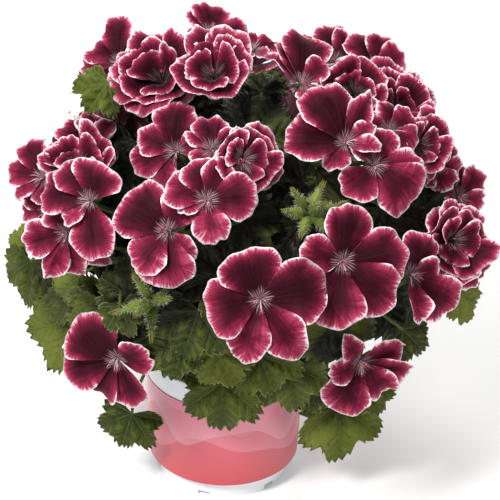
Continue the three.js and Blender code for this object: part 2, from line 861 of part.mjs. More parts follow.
function frontHead(head, headIndex) {
  const blooms = head.blooms.map((entry, i) => {
    const throat = onCrown(entry.at, entry.lift);
    return placeBloom(entry, throat, SEEDS.frontBloom + headIndex * 50 + i);
  });
  return { name: head.name, blooms };
}

function backBlooms(row, rowIndex) {
  return Array.from({ length: row.count }, (_, i) => {
    const draw = stream(SEEDS.backPlace + 50 * rowIndex + i);
    const azimuth = THREE.MathUtils.lerp(row.from, row.to, i / (row.count - 1)) + swing(draw, 4);
    const throat = crownPoint(azimuth, row.elevation + swing(draw, 3), 0.99 + swing(draw, 0.03));
    const first = 360 * draw();
    const petals = Array.from({ length: 5 }, (_, k) => first + k * 72 + swing(draw, 8));
    const size = BACK_SIZE * (1 + swing(draw, 0.1));
    const bloom = placeBloom({ petals, size }, throat, SEEDS.backBloom + rowIndex * 50 + i);
    return { azimuth, tier: row.tier, bloom };
  });
}

function backHeads() {
  const placed = BACK_ROWS.flatMap(backBlooms);
  return ["upper", "lower"].flatMap((tier) =>
    BACK_SECTORS.slice(1).map((end, k) => {
      const inSector = (one) => one.azimuth < end && one.azimuth >= BACK_SECTORS[k];
      const within = placed.filter((one) => one.tier === tier && inSector(one));
      return { name: `back_${tier}_${k + 1}`, blooms: within.map((one) => one.bloom) };
    }),
  );
}

// How far face b stands in front of face a where they overlap: the least and the greatest height of b
// above a, sampled round two rings of b
function heightsAbove(a, b) {
  let [least, most] = [Infinity, -Infinity];
  for (const reach of [0.45, 0.92])
    for (let k = 0; k < NUDGE_SAMPLES; k++) {
      const turn = ((k + 0.5 * (reach < 0.5)) * 2 * Math.PI) / NUDGE_SAMPLES;
      const [x, y] = [reach * b.reach * Math.cos(turn), reach * b.reach * Math.sin(turn)];
      const from = bloomPoint(b, x, y, faceHeight(b, x, y)).sub(a.throat);
      const [ax, ay] = [from.dot(a.frame.right), from.dot(a.frame.up)];
      if (Math.hypot(ax, ay) > 0.96 * a.reach) continue;
      const height = from.dot(a.frame.axis) - faceHeight(a, ax, ay);
      least = Math.min(least, height);
      most = Math.max(most, height);
    }
  return [least, most];
}

function nudgeFace(face, by) {
  const to = THREE.MathUtils.clamp(face.shift + by, -NUDGE_LIMIT, NUDGE_LIMIT);
  const step = face.nudge.clone().multiplyScalar(to - face.shift);
  face.throat.add(step);
  if (face.root) face.root.add(step);
  face.shift = to;
}

// How far b has to move forward of a, or back where it is negative, so that the two don't cross
function pushBetween(a, b, space) {
  if (a.throat.distanceTo(b.throat) > a.reach + b.reach) return 0;
  const [least, most] = heightsAbove(a, b);
  const [leastBack, mostBack] = heightsAbove(b, a);
  if (least === Infinity && leastBack === Infinity) return 0;
  const low = Math.min(least, -mostBack);
  const high = Math.max(most, -leastBack);
  return high > -low ? Math.max(0, space - low) : -Math.max(0, space + high);
}

// Nudges crossing faces apart, so that each lies over or under its neighbours. The fixed ones stay put.
function settle(faces, fixed, space) {
  for (let round = 0; round < NUDGE_ROUNDS; round++)
    faces.forEach((a, i) => {
      for (const b of faces.slice(i + 1)) {
        const push = pushBetween(a, b, space);
        nudgeFace(b, 0.25 * push);
        nudgeFace(a, -0.25 * push);
      }
      for (const b of fixed) nudgeFace(a, -0.4 * pushBetween(a, b, space));
    });
}

// The hub that a head's stalks part from, behind the middle of its blooms
function hubOf(blooms) {
  const middle = blooms.reduce((sum, b) => sum.add(b.throat), vec(0, 0, 0)).divideScalar(blooms.length);
  const axis = blooms.reduce((sum, b) => sum.add(b.frame.axis), vec(0, 0, 0)).normalize();
  return middle.addScaledVector(axis, -PEDICEL_LENGTH);
}

// A head of closed green buds that stand round a hub
function budHead(head, place, seed) {
  const draw = stream(seed);
  const frame = facingFrame(crownNormal(place));
  const buds = Array.from({ length: head.buds }, (_, i) => {
    const turn = ((i + 0.3 * draw()) * 2 * Math.PI) / (head.buds - 1);
    const spread = i === head.buds - 1 ? 0.1 : 1.4 + 0.6 * draw();
    const direction = frame.axis
      .clone()
      .addScaledVector(frame.right, Math.cos(turn) * spread)
      .addScaledVector(frame.up, Math.sin(turn) * spread)
      .normalize();
    const root = place.clone().addScaledVector(direction, 3 + 2.5 * draw());
    return { root, direction, length: BUD_LENGTH * (0.85 + 0.3 * draw()) };
  });
  return { name: head.name, hub: place, buds, axis: frame.axis };
}

// A bud on its stalk, as one bar that swells and comes to a blunt point
function budSolid(head, bud, grow = 0) {
  const at = (share) => bud.root.clone().addScaledVector(bud.direction, share * bud.length);
  const stalk = STALK_RADIUS * 0.6;
  return bar([head.hub, at(0.05), at(0.4), at(1)], [stalk, stalk, BUD_RADIUS, 0.5], 4, grow);
}

// The outline of a leaf in its own plane: lobed and toothed, in polar form about the place where its
// petiole joins
function leafReach(angle, tooth) {
  const share = angle / LEAF_HALF_ANGLE;
  const lobes = 1 + 0.1 * Math.cos((5 * Math.PI * angle) / LEAF_HALF_ANGLE);
  return (1 - 0.42 * share * share) * lobes * (1 + 0.075 * tooth);
}

// How high the blade stands: cupped at the sides, drooping at the tip, pleated along the ribs and waved
function leafHeight(leaf, angle, reach) {
  const share = angle / LEAF_HALF_ANGLE;
  const pleat = 0.045 * Math.cos((5 * Math.PI * angle) / LEAF_HALF_ANGLE) * reach;
  const wave = 0.05 * Math.sin(leaf.waves * angle + leaf.phase) * reach * reach;
  const square = reach * reach;
  return leaf.radius * (leaf.cup * square * share * share - leaf.droop * square - pleat + wave);
}

function leafPoint(leaf, angle, reach, raise = 0) {
  const r = reach * leaf.radius;
  const height = leafHeight(leaf, angle, reach);
  return leaf.root
    .clone()
    .addScaledVector(leaf.tip, r * Math.cos(angle))
    .addScaledVector(leaf.side, r * Math.sin(angle))
    .addScaledVector(leaf.normal, height + raise);
}

// Joins two rows of points, given their angles, by a band of triangles
function band(outer, inner, outerAngles, innerAngles) {
  const faces = [];
  let [i, j] = [0, 0];
  while (i < outer.length - 1 || j < inner.length - 1) {
    const outerNext = i < outer.length - 1 ? outerAngles[i + 1] : Infinity;
    const innerNext = j < inner.length - 1 ? innerAngles[j + 1] : Infinity;
    if (outerNext <= innerNext) {
      faces.push([outer[i], outer[i + 1], inner[j]]);
      i++;
    } else {
      faces.push([outer[i], inner[j + 1], inner[j]]);
      j++;
    }
  }
  return faces;
}

// A leaf and its petiole as one closed body. The petiole is a three-sided bar whose last ring is the
// blade's root.
function leafSolid(leaf, petiole, grow = 0) {
  const shell = startShell();
  const { teeth, ribs } = leaf;
  const steps = 2 * teeth;
  const angles = Array.from({ length: steps + 1 }, (_, i) => LEAF_HALF_ANGLE * ((2 * i) / steps - 1));
  const ribSpread = LEAF_HALF_ANGLE * 0.8;
  const ribAngles = Array.from({ length: ribs }, (_, i) => ribSpread * ((2 * i) / (ribs - 1) - 1));
  const halfWay = (angle, reach, raise) => leafPoint(leaf, angle, 0.55 * reach, raise);
  const outlineAt = (raise) =>
    angles.map((angle, i) => {
      const reach = leafReach(angle, i % 2 ? 1 : -0.6);
      return stretchFrom(halfWay(angle, reach, raise), leafPoint(leaf, angle, reach, raise), 1.4 * grow);
    });
  const ribsAt = (raise) => ribAngles.map((angle) => halfWay(angle, leafReach(angle, 0), raise));
  const rim = shell.ring(outlineAt(grow));
  const lowRim = grow ? shell.ring(outlineAt(-grow)) : rim;
  const inner = shell.ring(ribsAt(LEAF_HALF_THICKNESS + grow));
  const lowInner = shell.ring(ribsAt(-LEAF_HALF_THICKNESS - grow));
  const radius = PETIOLE_RADIUS + grow;
  const rootAt = (side, raise) =>
    leaf.root.clone().addScaledVector(leaf.side, side * radius).addScaledVector(leaf.normal, raise);
  const left = shell.add(rootAt(-1, grow));
  const right = shell.add(rootAt(1, grow));
  const below = shell.add(rootAt(0, -1.4 * radius));
  const middle = (ribs - 1) / 2;
  const face = (rimRow, ribRow) => {
    const faces = band(rimRow, ribRow, angles, ribAngles);
    faces.push([left, rimRow[0], ribRow[0]], [right, ribRow[ribs - 1], rimRow[steps]]);
    for (let i = 0; i < ribs - 1; i++) faces.push([i < middle ? left : right, ribRow[i], ribRow[i + 1]]);
    return faces;
  };
  shell.triangles.push(...face(rim, inner), [left, inner[middle], right]);
  shell.triangles.push(...face(lowRim, lowInner).map(([a, b, c]) => [a, c, b]));
  shell.triangles.push([left, below, lowInner[middle]], [below, right, lowInner[middle]]);
  if (grow) {
    for (let i = 0; i < steps; i++) {
      shell.triangles.push([rim[i + 1], rim[i], lowRim[i]], [rim[i + 1], lowRim[i], lowRim[i + 1]]);
    }
    shell.triangles.push([rim[0], left, lowRim[0]], [right, rim[steps], lowRim[steps]]);
  }
  let ring = [left, right, below];
  for (const share of PETIOLE_SHARES) {
    const centre = petiole.getPoint(1 - share);
    const away = petiole.getTangent(1 - share).negate();
    const across = leaf.side.clone().addScaledVector(away, -leaf.side.dot(away)).normalize();
    const over = across.clone().cross(away);
    const next = shell.ring([
      centre.clone().addScaledVector(across, -radius).addScaledVector(over, radius * 0.6),
      centre.clone().addScaledVector(across, radius).addScaledVector(over, radius * 0.6),
      centre.clone().addScaledVector(over, -radius * 1.2),
    ]);
    shell.bridge(ring, next);
    ring = next;
  }
  shell.cap(ring);
  return shell.solid();
}

function placeLeaf(middle, normal, direction, nudge, size, seed, fine) {
  const draw = stream(seed);
  const tip = direction.clone().addScaledVector(normal, -direction.dot(normal)).normalize();
  const radius = LEAF_RADIUS * size * (1 + swing(draw, 0.05));
  const side = normal.clone().cross(tip);
  return {
    throat: middle.clone(),
    reach: 0.82 * radius,
    nudge,
    shift: 0,
    frame: { right: tip, up: side, axis: normal },
    root: middle.clone().addScaledVector(tip, -LEAF_MIDDLE * radius),
    tip,
    side,
    normal,
    radius,
    cup: 0.22 + swing(draw, 0.12),
    droop: 0.14 + swing(draw, 0.1),
    waves: 3,
    phase: draw() * 2 * Math.PI,
    teeth: fine ? 9 : 6,
    ribs: fine ? 5 : 3,
  };
}

function frontLeaf(entry, index) {
  const middle = entry.shell ? onCrown(entry.at, entry.shell) : atDepth(entry.at, entry.depth);
  const toEye = EYE.clone().sub(middle).normalize();
  const normal = crownNormal(middle).multiplyScalar(0.5).addScaledVector(toEye, 0.6);
  if (normal.z < 0.25) normal.z = 0.25;
  normal.normalize();
  const [x, y] = unroll(Math.cos(entry.point * DEG), Math.sin(entry.point * DEG));
  const direction = RIGHT.clone().multiplyScalar(x).addScaledVector(UP, y);
  return placeLeaf(middle, normal, direction, toEye, entry.size, SEEDS.frontLeaf + index, entry.size > 0.85);
}

function ringLeaves(ring, ringIndex) {
  return Array.from({ length: ring.count }, (_, i) => {
    const draw = stream(SEEDS.ringLeaf + 50 * ringIndex + i);
    const azimuth = THREE.MathUtils.lerp(ring.from, ring.to, i / (ring.count - 1)) + swing(draw, 6);
    const middle = crownPoint(azimuth, ring.elevation + swing(draw, 5), ring.shell + swing(draw, 0.02));
    const normal = crownNormal(middle);
    normal.z += 0.35;
    normal.normalize();
    const down = vec(swing(draw, 0.6), swing(draw, 0.6), -1);
    const size = ring.size * (1 + swing(draw, 0.12));
    const seed = SEEDS.ringLeafForm + 50 * ringIndex + i;
    return placeLeaf(middle, normal, down, crownNormal(middle), size, seed, false);
  });
}

// Stems, and what grows from each
function stemCurve(stem) {
  const surface = POT_HEIGHT - SOIL_DEPTH_BELOW_RIM;
  const [x, y] = stem.soil;
  const tip = crownPoint(stem.azimuth, stem.elevation, STEM_REACH);
  return new THREE.CubicBezierCurve3(
    vec(x, y, surface - STEM_DEPTH_IN_SOIL),
    vec(x * 1.05, y * 1.05, surface + 30),
    vec(x * 1.6 + 0.2 * tip.x, y * 1.6 + 0.2 * tip.y, surface + 0.45 * (tip.z - surface)),
    tip,
  );
}

// A stalk that leaves the stem along its own direction and arrives at end from behind
function stalkCurve(stem, along, end, arrive) {
  const start = stem.curve.getPointAt(along);
  const leave = stem.curve.getTangentAt(along);
  const span = start.distanceTo(end) * 0.4;
  return new THREE.CubicBezierCurve3(
    start,
    start.clone().addScaledVector(leave, span),
    end.clone().addScaledVector(arrive, -span),
    end,
  );
}

const angleBetween = (a, b) => a.clone().sub(CROWN.centre).angleTo(b.clone().sub(CROWN.centre));

function nearestStem(stems, place) {
  const away = (stem) => angleBetween(stem.tip, place);
  return stems.reduce((best, stem) => (away(stem) < away(best) ? stem : best));
}

// How far along its stem a leaf's petiole leaves: low leaves leave low down
function petioleStart(stem, leaf) {
  const surface = POT_HEIGHT - SOIL_DEPTH_BELOW_RIM;
  const height = (leaf.root.z - surface) / (stem.tip.z - surface);
  return THREE.MathUtils.clamp(0.3 + 0.5 * height, 0.42, 0.95);
}

const stems = STEMS.map((stem) => {
  const curve = stemCurve(stem);
  return { ...stem, curve, tip: curve.getPoint(1), bars: [], leaves: [] };
});

const heads = [...FRONT_HEADS.map(frontHead), ...backHeads()];
const allBlooms = heads.flatMap((head) => head.blooms);
settle(allBlooms, [], BLOOM_SPACE);
const budHeads = [
  ...BUD_HEADS.map((head, i) => budHead(head, onCrown(head.at, head.lift), SEEDS.budHead + i)),
  ...BACK_BUD_HEADS.map((head, i) => {
    const place = crownPoint(head.azimuth, head.elevation, 0.94);
    return budHead(head, place, SEEDS.backBudHead + i);
  }),
];
const leaves = [...FRONT_LEAVES.map(frontLeaf), ...LEAF_RINGS.flatMap(ringLeaves)];
settle(leaves, allBlooms, LEAF_SPACE);

for (const stem of stems) {
  stem.bars.push((grow) => barAlong(stem.curve, STEM_RADIUS, STEM_TIP_RADIUS, 4, 5, grow));
}

for (const head of heads) {
  head.hub = hubOf(head.blooms);
  const stem = nearestStem(stems, head.hub);
  const outwards = head.hub.clone().sub(stem.tip).normalize();
  const seat = head.hub.clone().addScaledVector(outwards, -HUB_RADIUS - GAP);
  const stalk = stalkCurve(stem, 0.97, seat, outwards);
  stem.bars.push((grow) => barAlong(stalk, STALK_RADIUS * 1.2, STALK_RADIUS, 2, 4, grow));
  head.make = (grow) => {
    const knob = head.hub.clone().addScaledVector(outwards, -HUB_RADIUS);
    const ends = [knob, head.hub, head.hub.clone().addScaledVector(outwards, HUB_RADIUS)];
    const solids = [bar(ends, [1.5, HUB_RADIUS, 1.5], 4, grow)];
    for (const bloom of head.blooms) {
      solids.push(bloomSolid(bloom, head.hub, grow));
      if (bloom.double) solids.push(innerCupSolid(bloom, grow));
    }
    return join(solids);
  };
}

for (const head of budHeads) {
  const stem = nearestStem(stems, head.hub);
  const stalk = stalkCurve(stem, 0.97, head.hub, head.axis);
  stem.bars.push((grow) => barAlong(stalk, STALK_RADIUS, STALK_RADIUS, 2, 4, grow));
  for (const bud of head.buds) stem.bars.push((grow) => budSolid(head, bud, grow));
}

for (const leaf of leaves) {
  const stem = nearestStem(stems, leaf.root);
  const under = leaf.tip.clone().multiplyScalar(0.75).addScaledVector(leaf.normal, 0.65).normalize();
  const start = petioleStart(stem, leaf);
  const petioles = PETIOLE_BENDS.map(({ later, sideways, drop }) => {
    const arrive = under.clone().addScaledVector(leaf.side, sideways);
    arrive.z -= drop;
    const along = THREE.MathUtils.clamp(start + later, 0.35, 0.97);
    return stalkCurve(stem, along, leaf.root, arrive.normalize());
  });
  stem.leaves.push({ leaf, petioles });
}

// Pot, band and soil
function lathe(profile, sides) {
  const outline = profile.map(([r, z]) => new THREE.Vector2(r, z));
  return geometryToSolid(new THREE.LatheGeometry(outline, sides).rotateX(Math.PI / 2));
}

function outward(solid) {
  if (solid.volume() >= 0) return solid;
  const mesh = solid.getMesh();
  const flipped = new Uint32Array(mesh.triVerts.length);
  for (let i = 0; i < flipped.length; i += 3) {
    flipped.set([mesh.triVerts[i], mesh.triVerts[i + 2], mesh.triVerts[i + 1]], i);
  }
  const turned = new wasm.Mesh({ numProp: 3, vertProperties: mesh.vertProperties, triVerts: flipped });
  return new wasm.Manifold(turned);
}

const rimSeat = POT_HEIGHT - RIM_HEIGHT;

function bodyRadius(z) {
  return THREE.MathUtils.mapLinear(z, FOOT_HEIGHT, rimSeat, BODY_LOW_RADIUS, BODY_TOP_RADIUS);
}

function makePot() {
  const floor = 3;
  const shell = outward(
    lathe(
      [
        [0, 0],
        [FOOT_RADIUS, 0],
        [FOOT_RADIUS + 0.6, FOOT_HEIGHT - 1],
        [BODY_LOW_RADIUS, FOOT_HEIGHT],
        [BODY_TOP_RADIUS, rimSeat],
        [RIM_RADIUS - 0.4, rimSeat + 0.6],
        [RIM_RADIUS, POT_HEIGHT - 1.4],
        [RIM_RADIUS - 0.5, POT_HEIGHT],
        [RIM_RADIUS - RIM_WALL, POT_HEIGHT - 0.4],
        [BODY_TOP_RADIUS - POT_WALL, rimSeat],
        [FOOT_RADIUS - POT_WALL, FOOT_HEIGHT - 2],
        [FOOT_RADIUS - POT_WALL - 1, floor],
        [0, floor],
      ],
      POT_SIDES,
    ),
  );
  const notches = Array.from({ length: FOOT_NOTCHES }, (_, i) => {
    const { width, height, depth } = FOOT_NOTCH;
    const box = new THREE.BoxGeometry(2 * depth, width, 2 * height);
    box.translate(FOOT_RADIUS + depth * 0.55, 0, 0).rotateZ(((i + 0.25) * 2 * Math.PI) / FOOT_NOTCHES);
    return geometryToSolid(box);
  });
  return shell.subtract(join(notches));
}

function makeBand() {
  const { low, high, thickness } = BAND;
  const [inLow, inHigh] = [bodyRadius(low) + GAP, bodyRadius(high) + GAP];
  return outward(
    lathe(
      [
        [inLow, low],
        [inLow + thickness, low],
        [inHigh + thickness, high],
        [inHigh, high],
        [inLow, low],
      ],
      POT_SIDES,
    ),
  );
}

// Soil: a plug that fills the pot, with low bumps on top and a hole for each stem
function makeSoil() {
  const surface = POT_HEIGHT - SOIL_DEPTH_BELOW_RIM;
  const outer = (z) => THREE.MathUtils.mapLinear(z, FOOT_HEIGHT - 2, rimSeat, FOOT_RADIUS, BODY_TOP_RADIUS);
  const inner = (z) => outer(z) - POT_WALL - 2 * GAP;
  const [sides, rings] = [20, 3];
  const shell = startShell();
  const top = shell.add(vec(0, 0, surface));
  const foot = FOOT_HEIGHT;
  const around = (radius, height) =>
    Array.from({ length: sides }, (_, k) => {
      const turn = (2 * Math.PI * k) / sides;
      return vec(radius * Math.cos(turn), radius * Math.sin(turn), height(turn));
    });
  const rows = Array.from({ length: rings }, (_, i) => {
    const bump = (turn) => surface + SOIL_BUMP * Math.sin(5 * turn + 2 * i) * Math.cos(3 * turn - i);
    return shell.ring(around((inner(surface) * (i + 1)) / rings, bump));
  });
  rows[0].forEach((a, k) => shell.triangles.push([top, a, rows[0][(k + 1) % sides]]));
  const base = shell.ring(around(inner(foot), () => foot));
  [...rows.slice(1), base].forEach((row, i) => shell.bridge([...rows[i]].reverse(), [...row].reverse()));
  shell.cap([...base].reverse());
  const holes = stems.map((stem) => barAlong(stem.curve, STEM_RADIUS, STEM_TIP_RADIUS, 4, 5, GAP + 0.1));
  return outward(shell.solid()).subtract(join(holes));
}

// Cutting neighbours clear: each body is cut by the grown form of what was placed before it
function boxesMeet(a, b) {
  const [p, q] = [a.boundingBox(), b.boundingBox()];
  return [0, 1, 2].every((i) => p.min[i] < q.max[i] && q.min[i] < p.max[i]);
}

function cutClear(solid, cutters) {
  const near = cutters.filter((cutter) => boxesMeet(solid, cutter));
  return near.length ? solid.subtract(join(near)) : solid;
}

const bigger = (one, other) => (other.volume() > one.volume() ? other : one);
const largest = (solid) => solid.decompose().reduce(bigger);

const pieces = new Map();
pieces.set("pot", [makePot(), "pot"]);
pieces.set("label_band", [makeBand(), "band"]);
pieces.set("soil", [makeSoil(), "soil"]);

// A plain cylinder a little larger than the pot, which the plant's blades stay out of
const potGuard = geometryToSolid(
  new THREE.CylinderGeometry(RIM_RADIUS + 0.8, RIM_RADIUS + 0.8, POT_HEIGHT + 0.6, POT_SIDES)
    .rotateX(Math.PI / 2)
    .translate(0, 0, POT_HEIGHT / 2),
);

const skeletons = stems.map((stem) => ({
  stem,
  solid: join(stem.bars.map((make) => make(0))),
  guard: join(stem.bars.map((make) => make(CLEAR))),
}));

// Flower heads: each is one body, kept clear of the stalks and of the heads before it
const headGuards = [];
for (const head of heads) {
  const body = cutClear(head.make(0), [...headGuards, ...skeletons.map((s) => s.guard)]);
  pieces.set(`flower_head_${head.name}`, [largest(body), "petal"]);
  headGuards.push(head.make(CLEAR));
}

// A leaf, cut clear of its neighbours, with the petiole that leaves most of it on the stem
function bestLeaf({ leaf, petioles }, stemSolid, cutters) {
  let best = null;
  for (const petiole of petioles) {
    const bodies = cutClear(leafSolid(leaf, petiole), cutters).decompose();
    const held = bodies.filter((body) => body.intersect(stemSolid).volume() > 0.01);
    const body = held.reduce((most, one) => (one.volume() > (most?.volume() ?? 0) ? one : most), null);
    const score = body ? body.volume() : 0;
    if (!best || score > best.score * 1.02) best = { score, body, petiole };
    if (best.score > 0.97 * leafSolid(leaf, petiole).volume()) break;
  }
  return best.score > KEPT_SHARE * leafSolid(leaf, best.petiole).volume() ? best : null;
}

// Leafy stems: the skeleton with its leaves
const leafGuards = [];
skeletons.forEach(({ stem, solid }, i) => {
  const skeleton = largest(cutClear(solid, skeletons.slice(0, i).map((s) => s.guard)));
  const others = skeletons.filter((_, k) => k !== i).map((s) => s.guard);
  const cutters = [potGuard, ...headGuards, ...others, ...leafGuards];
  const tried = stem.leaves.map((entry) => ({ entry, best: bestLeaf(entry, skeleton, cutters) }));
  const kept = tried.filter(({ best }) => best);
  leafGuards.push(...kept.map(({ entry, best }) => leafSolid(entry.leaf, best.petiole, CLEAR)));
  const whole = join([skeleton, ...kept.map(({ best }) => best.body)]);
  pieces.set(`leafy_stem_${stem.name}`, [largest(whole), "green"]);
});

const plant = new THREE.Group();
for (const [name, [solid, colour]] of pieces) {
  const { vertProperties, triVerts } = solid.getMesh();
  const geometry = new THREE.BufferGeometry()
    .setAttribute("position", new THREE.BufferAttribute(new Float32Array(vertProperties), 3))
    .setIndex(new THREE.BufferAttribute(new Uint32Array(triVerts), 1));
  const [color, roughness] = COLOURS[colour];
  const mesh = new THREE.Mesh(geometry, new THREE.MeshStandardMaterial({ color, roughness, metalness: 0 }));
  mesh.name = name;
  plant.add(mesh);
}

export default plant;
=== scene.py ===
# The looks of a potted regal geranium: ruffled two-tone petals, veined leaves, downy buds, pot, band, peat.
# Lengths are in millimetres here, +Z up, front towards -Y, and become metres when a mesh is made.

import math
from types import SimpleNamespace

import bpy
import numpy as np
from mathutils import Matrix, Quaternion, Vector
from mathutils.bvhtree import BVHTree


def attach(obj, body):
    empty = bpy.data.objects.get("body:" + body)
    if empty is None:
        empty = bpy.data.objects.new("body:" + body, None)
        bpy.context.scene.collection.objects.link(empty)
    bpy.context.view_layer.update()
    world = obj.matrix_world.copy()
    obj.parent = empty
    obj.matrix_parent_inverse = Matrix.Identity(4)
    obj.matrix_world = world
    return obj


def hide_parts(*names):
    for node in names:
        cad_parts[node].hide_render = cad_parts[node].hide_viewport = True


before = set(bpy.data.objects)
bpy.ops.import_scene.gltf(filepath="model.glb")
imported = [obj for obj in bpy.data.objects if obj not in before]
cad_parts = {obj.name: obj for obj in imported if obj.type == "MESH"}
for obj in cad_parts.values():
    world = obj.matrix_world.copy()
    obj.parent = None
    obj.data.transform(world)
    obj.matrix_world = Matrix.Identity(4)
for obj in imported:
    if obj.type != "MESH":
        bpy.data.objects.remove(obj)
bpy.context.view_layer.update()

DEG = math.pi / 180
TURN = 2 * math.pi
GAP = 0.3
METRES = 0.001
MILLIMETRES = 1000.0

# Pot, band and soil
POT_HEIGHT = 103
RIM_RADIUS = 60
RIM_HEIGHT = 17
RIM_WALL = 1.8
BODY_TOP_RADIUS = 58.2
BODY_LOW_RADIUS = 56.4
FOOT_RADIUS = 50.5
FOOT_HEIGHT = 15
POT_WALL = 1.6
FOOT_NOTCHES = 6
FOOT_NOTCH = {"width": 9, "height": 4, "depth": 9}
BAND = {"low": 16.5, "high": 85, "thickness": 0.8}
SOIL_SURFACE = POT_HEIGHT - 13
SOIL_BUMP = 1.6

# The crown of the plant: the ellipsoid that the throats of the blooms lie on
CROWN_CENTRE = np.array([14.0, -4.0, 212.0])
CROWN_HALF = np.array([146.0, 146.0, 112.0])

# The view that the picture places below are given in: 500 pixels a side, from the front and above
VIEW_TARGET = np.array([15.5, 0.0, 184.0])
VIEW_DISTANCE = 1000
VIEW_PITCH = 28 * DEG
VIEW_ROLL = 2 * DEG
VIEW_FOCAL = 1389
VIEW_MIDDLE = 250

# Blooms and petals. A petal is narrow at its claw and widest at a share of its length.
PETAL_LENGTH = 36
PETAL_HALF_WIDTH = 0.54
PETAL_WIDEST = 0.6
CLAW_WIDTH = 0.1
SHINGLE = 0.16
FACE_VIEWER = 0.48
PEDICEL_RADIUS = 1
PEDICEL_LENGTH = 38
HUB_RADIUS = 4.5

# Leaves
LEAF_RADIUS = 40
LEAF_HALF_ANGLE = 122 * DEG
LEAF_MIDDLE = 0.42
LEAF_LOBES = 5
LEAF_PLEAT = 0.045
PETIOLE_RADIUS = 1.4

# Stems
STEM_RADIUS = 4.2
STEM_TIP_RADIUS = 2.6
STALK_RADIUS = 1.7
STEM_DEPTH_IN_SOIL = 24
STEM_REACH = 0.45
STALK_START = 0.97

# Nudging faces apart where they would cross
NUDGE_ROUNDS = 200
BLOOM_SPACE = 7
LEAF_SPACE = 3
NUDGE_LIMIT = 30
NUDGE_SAMPLES = 12
NUDGE_REACHES = [0.45, 0.92]
NUDGE_OVERLAP = 0.96
NUDGE_STEP = 0.25
NUDGE_STEP_FROM_FIXED = 0.4

BACK_SECTORS = [95, 137, 180, 223, 265]
BACK_SIZE = 0.94
BACK_BUD_SHELL = 0.94
BUD_LENGTH = 18.5
BUD_RADIUS = 3.7

# First seed of each kind of repeat, and how far the seeds of two rows are apart
SEED_STEP = 50
SEEDS = {
    "front_bloom": 1000,
    "front_leaf": 3000,
    "ring_leaf": 4000,
    "ring_leaf_form": 5000,
    "back_place": 7000,
    "back_bloom": 8000,
    "bud_head": 9000,
    "back_bud_head": 9100,
    "stem_looks": 9500,
    "soil": 4242,
}

# What is added to a bloom's or a leaf's own seed for its looks
LOOK_SEEDS = {"petals": 500, "leaf_blade": 700, "calyx": 800, "head": 900}

# Stems, as name, place in the soil, azimuth and elevation
STEMS = [
    ("front", (2, -22), 5, -12),
    ("front_right", (22, -12), 62, -2),
    ("back_right", (22, 14), 122, 12),
    ("back", (0, 24), 180, 12),
    ("back_left", (-22, 14), 238, 12),
    ("front_left", (-22, -12), 298, -2),
    ("top_left", (-8, 2), 325, 62),
    ("top_right", (9, 3), 50, 62),
]


def bloom(at, *petals, **form):
    """A bloom by its place in the picture and its petals: each an angle, or an angle, a length and a width"""
    return {"at": at, "petals": petals, **form}


def front(x, y, point, size, **reach):
    """A front leaf by its middle in the picture, the angle it points at, its size and how far back it is"""
    return {"at": (x, y), "point": point, "size": size, **reach}


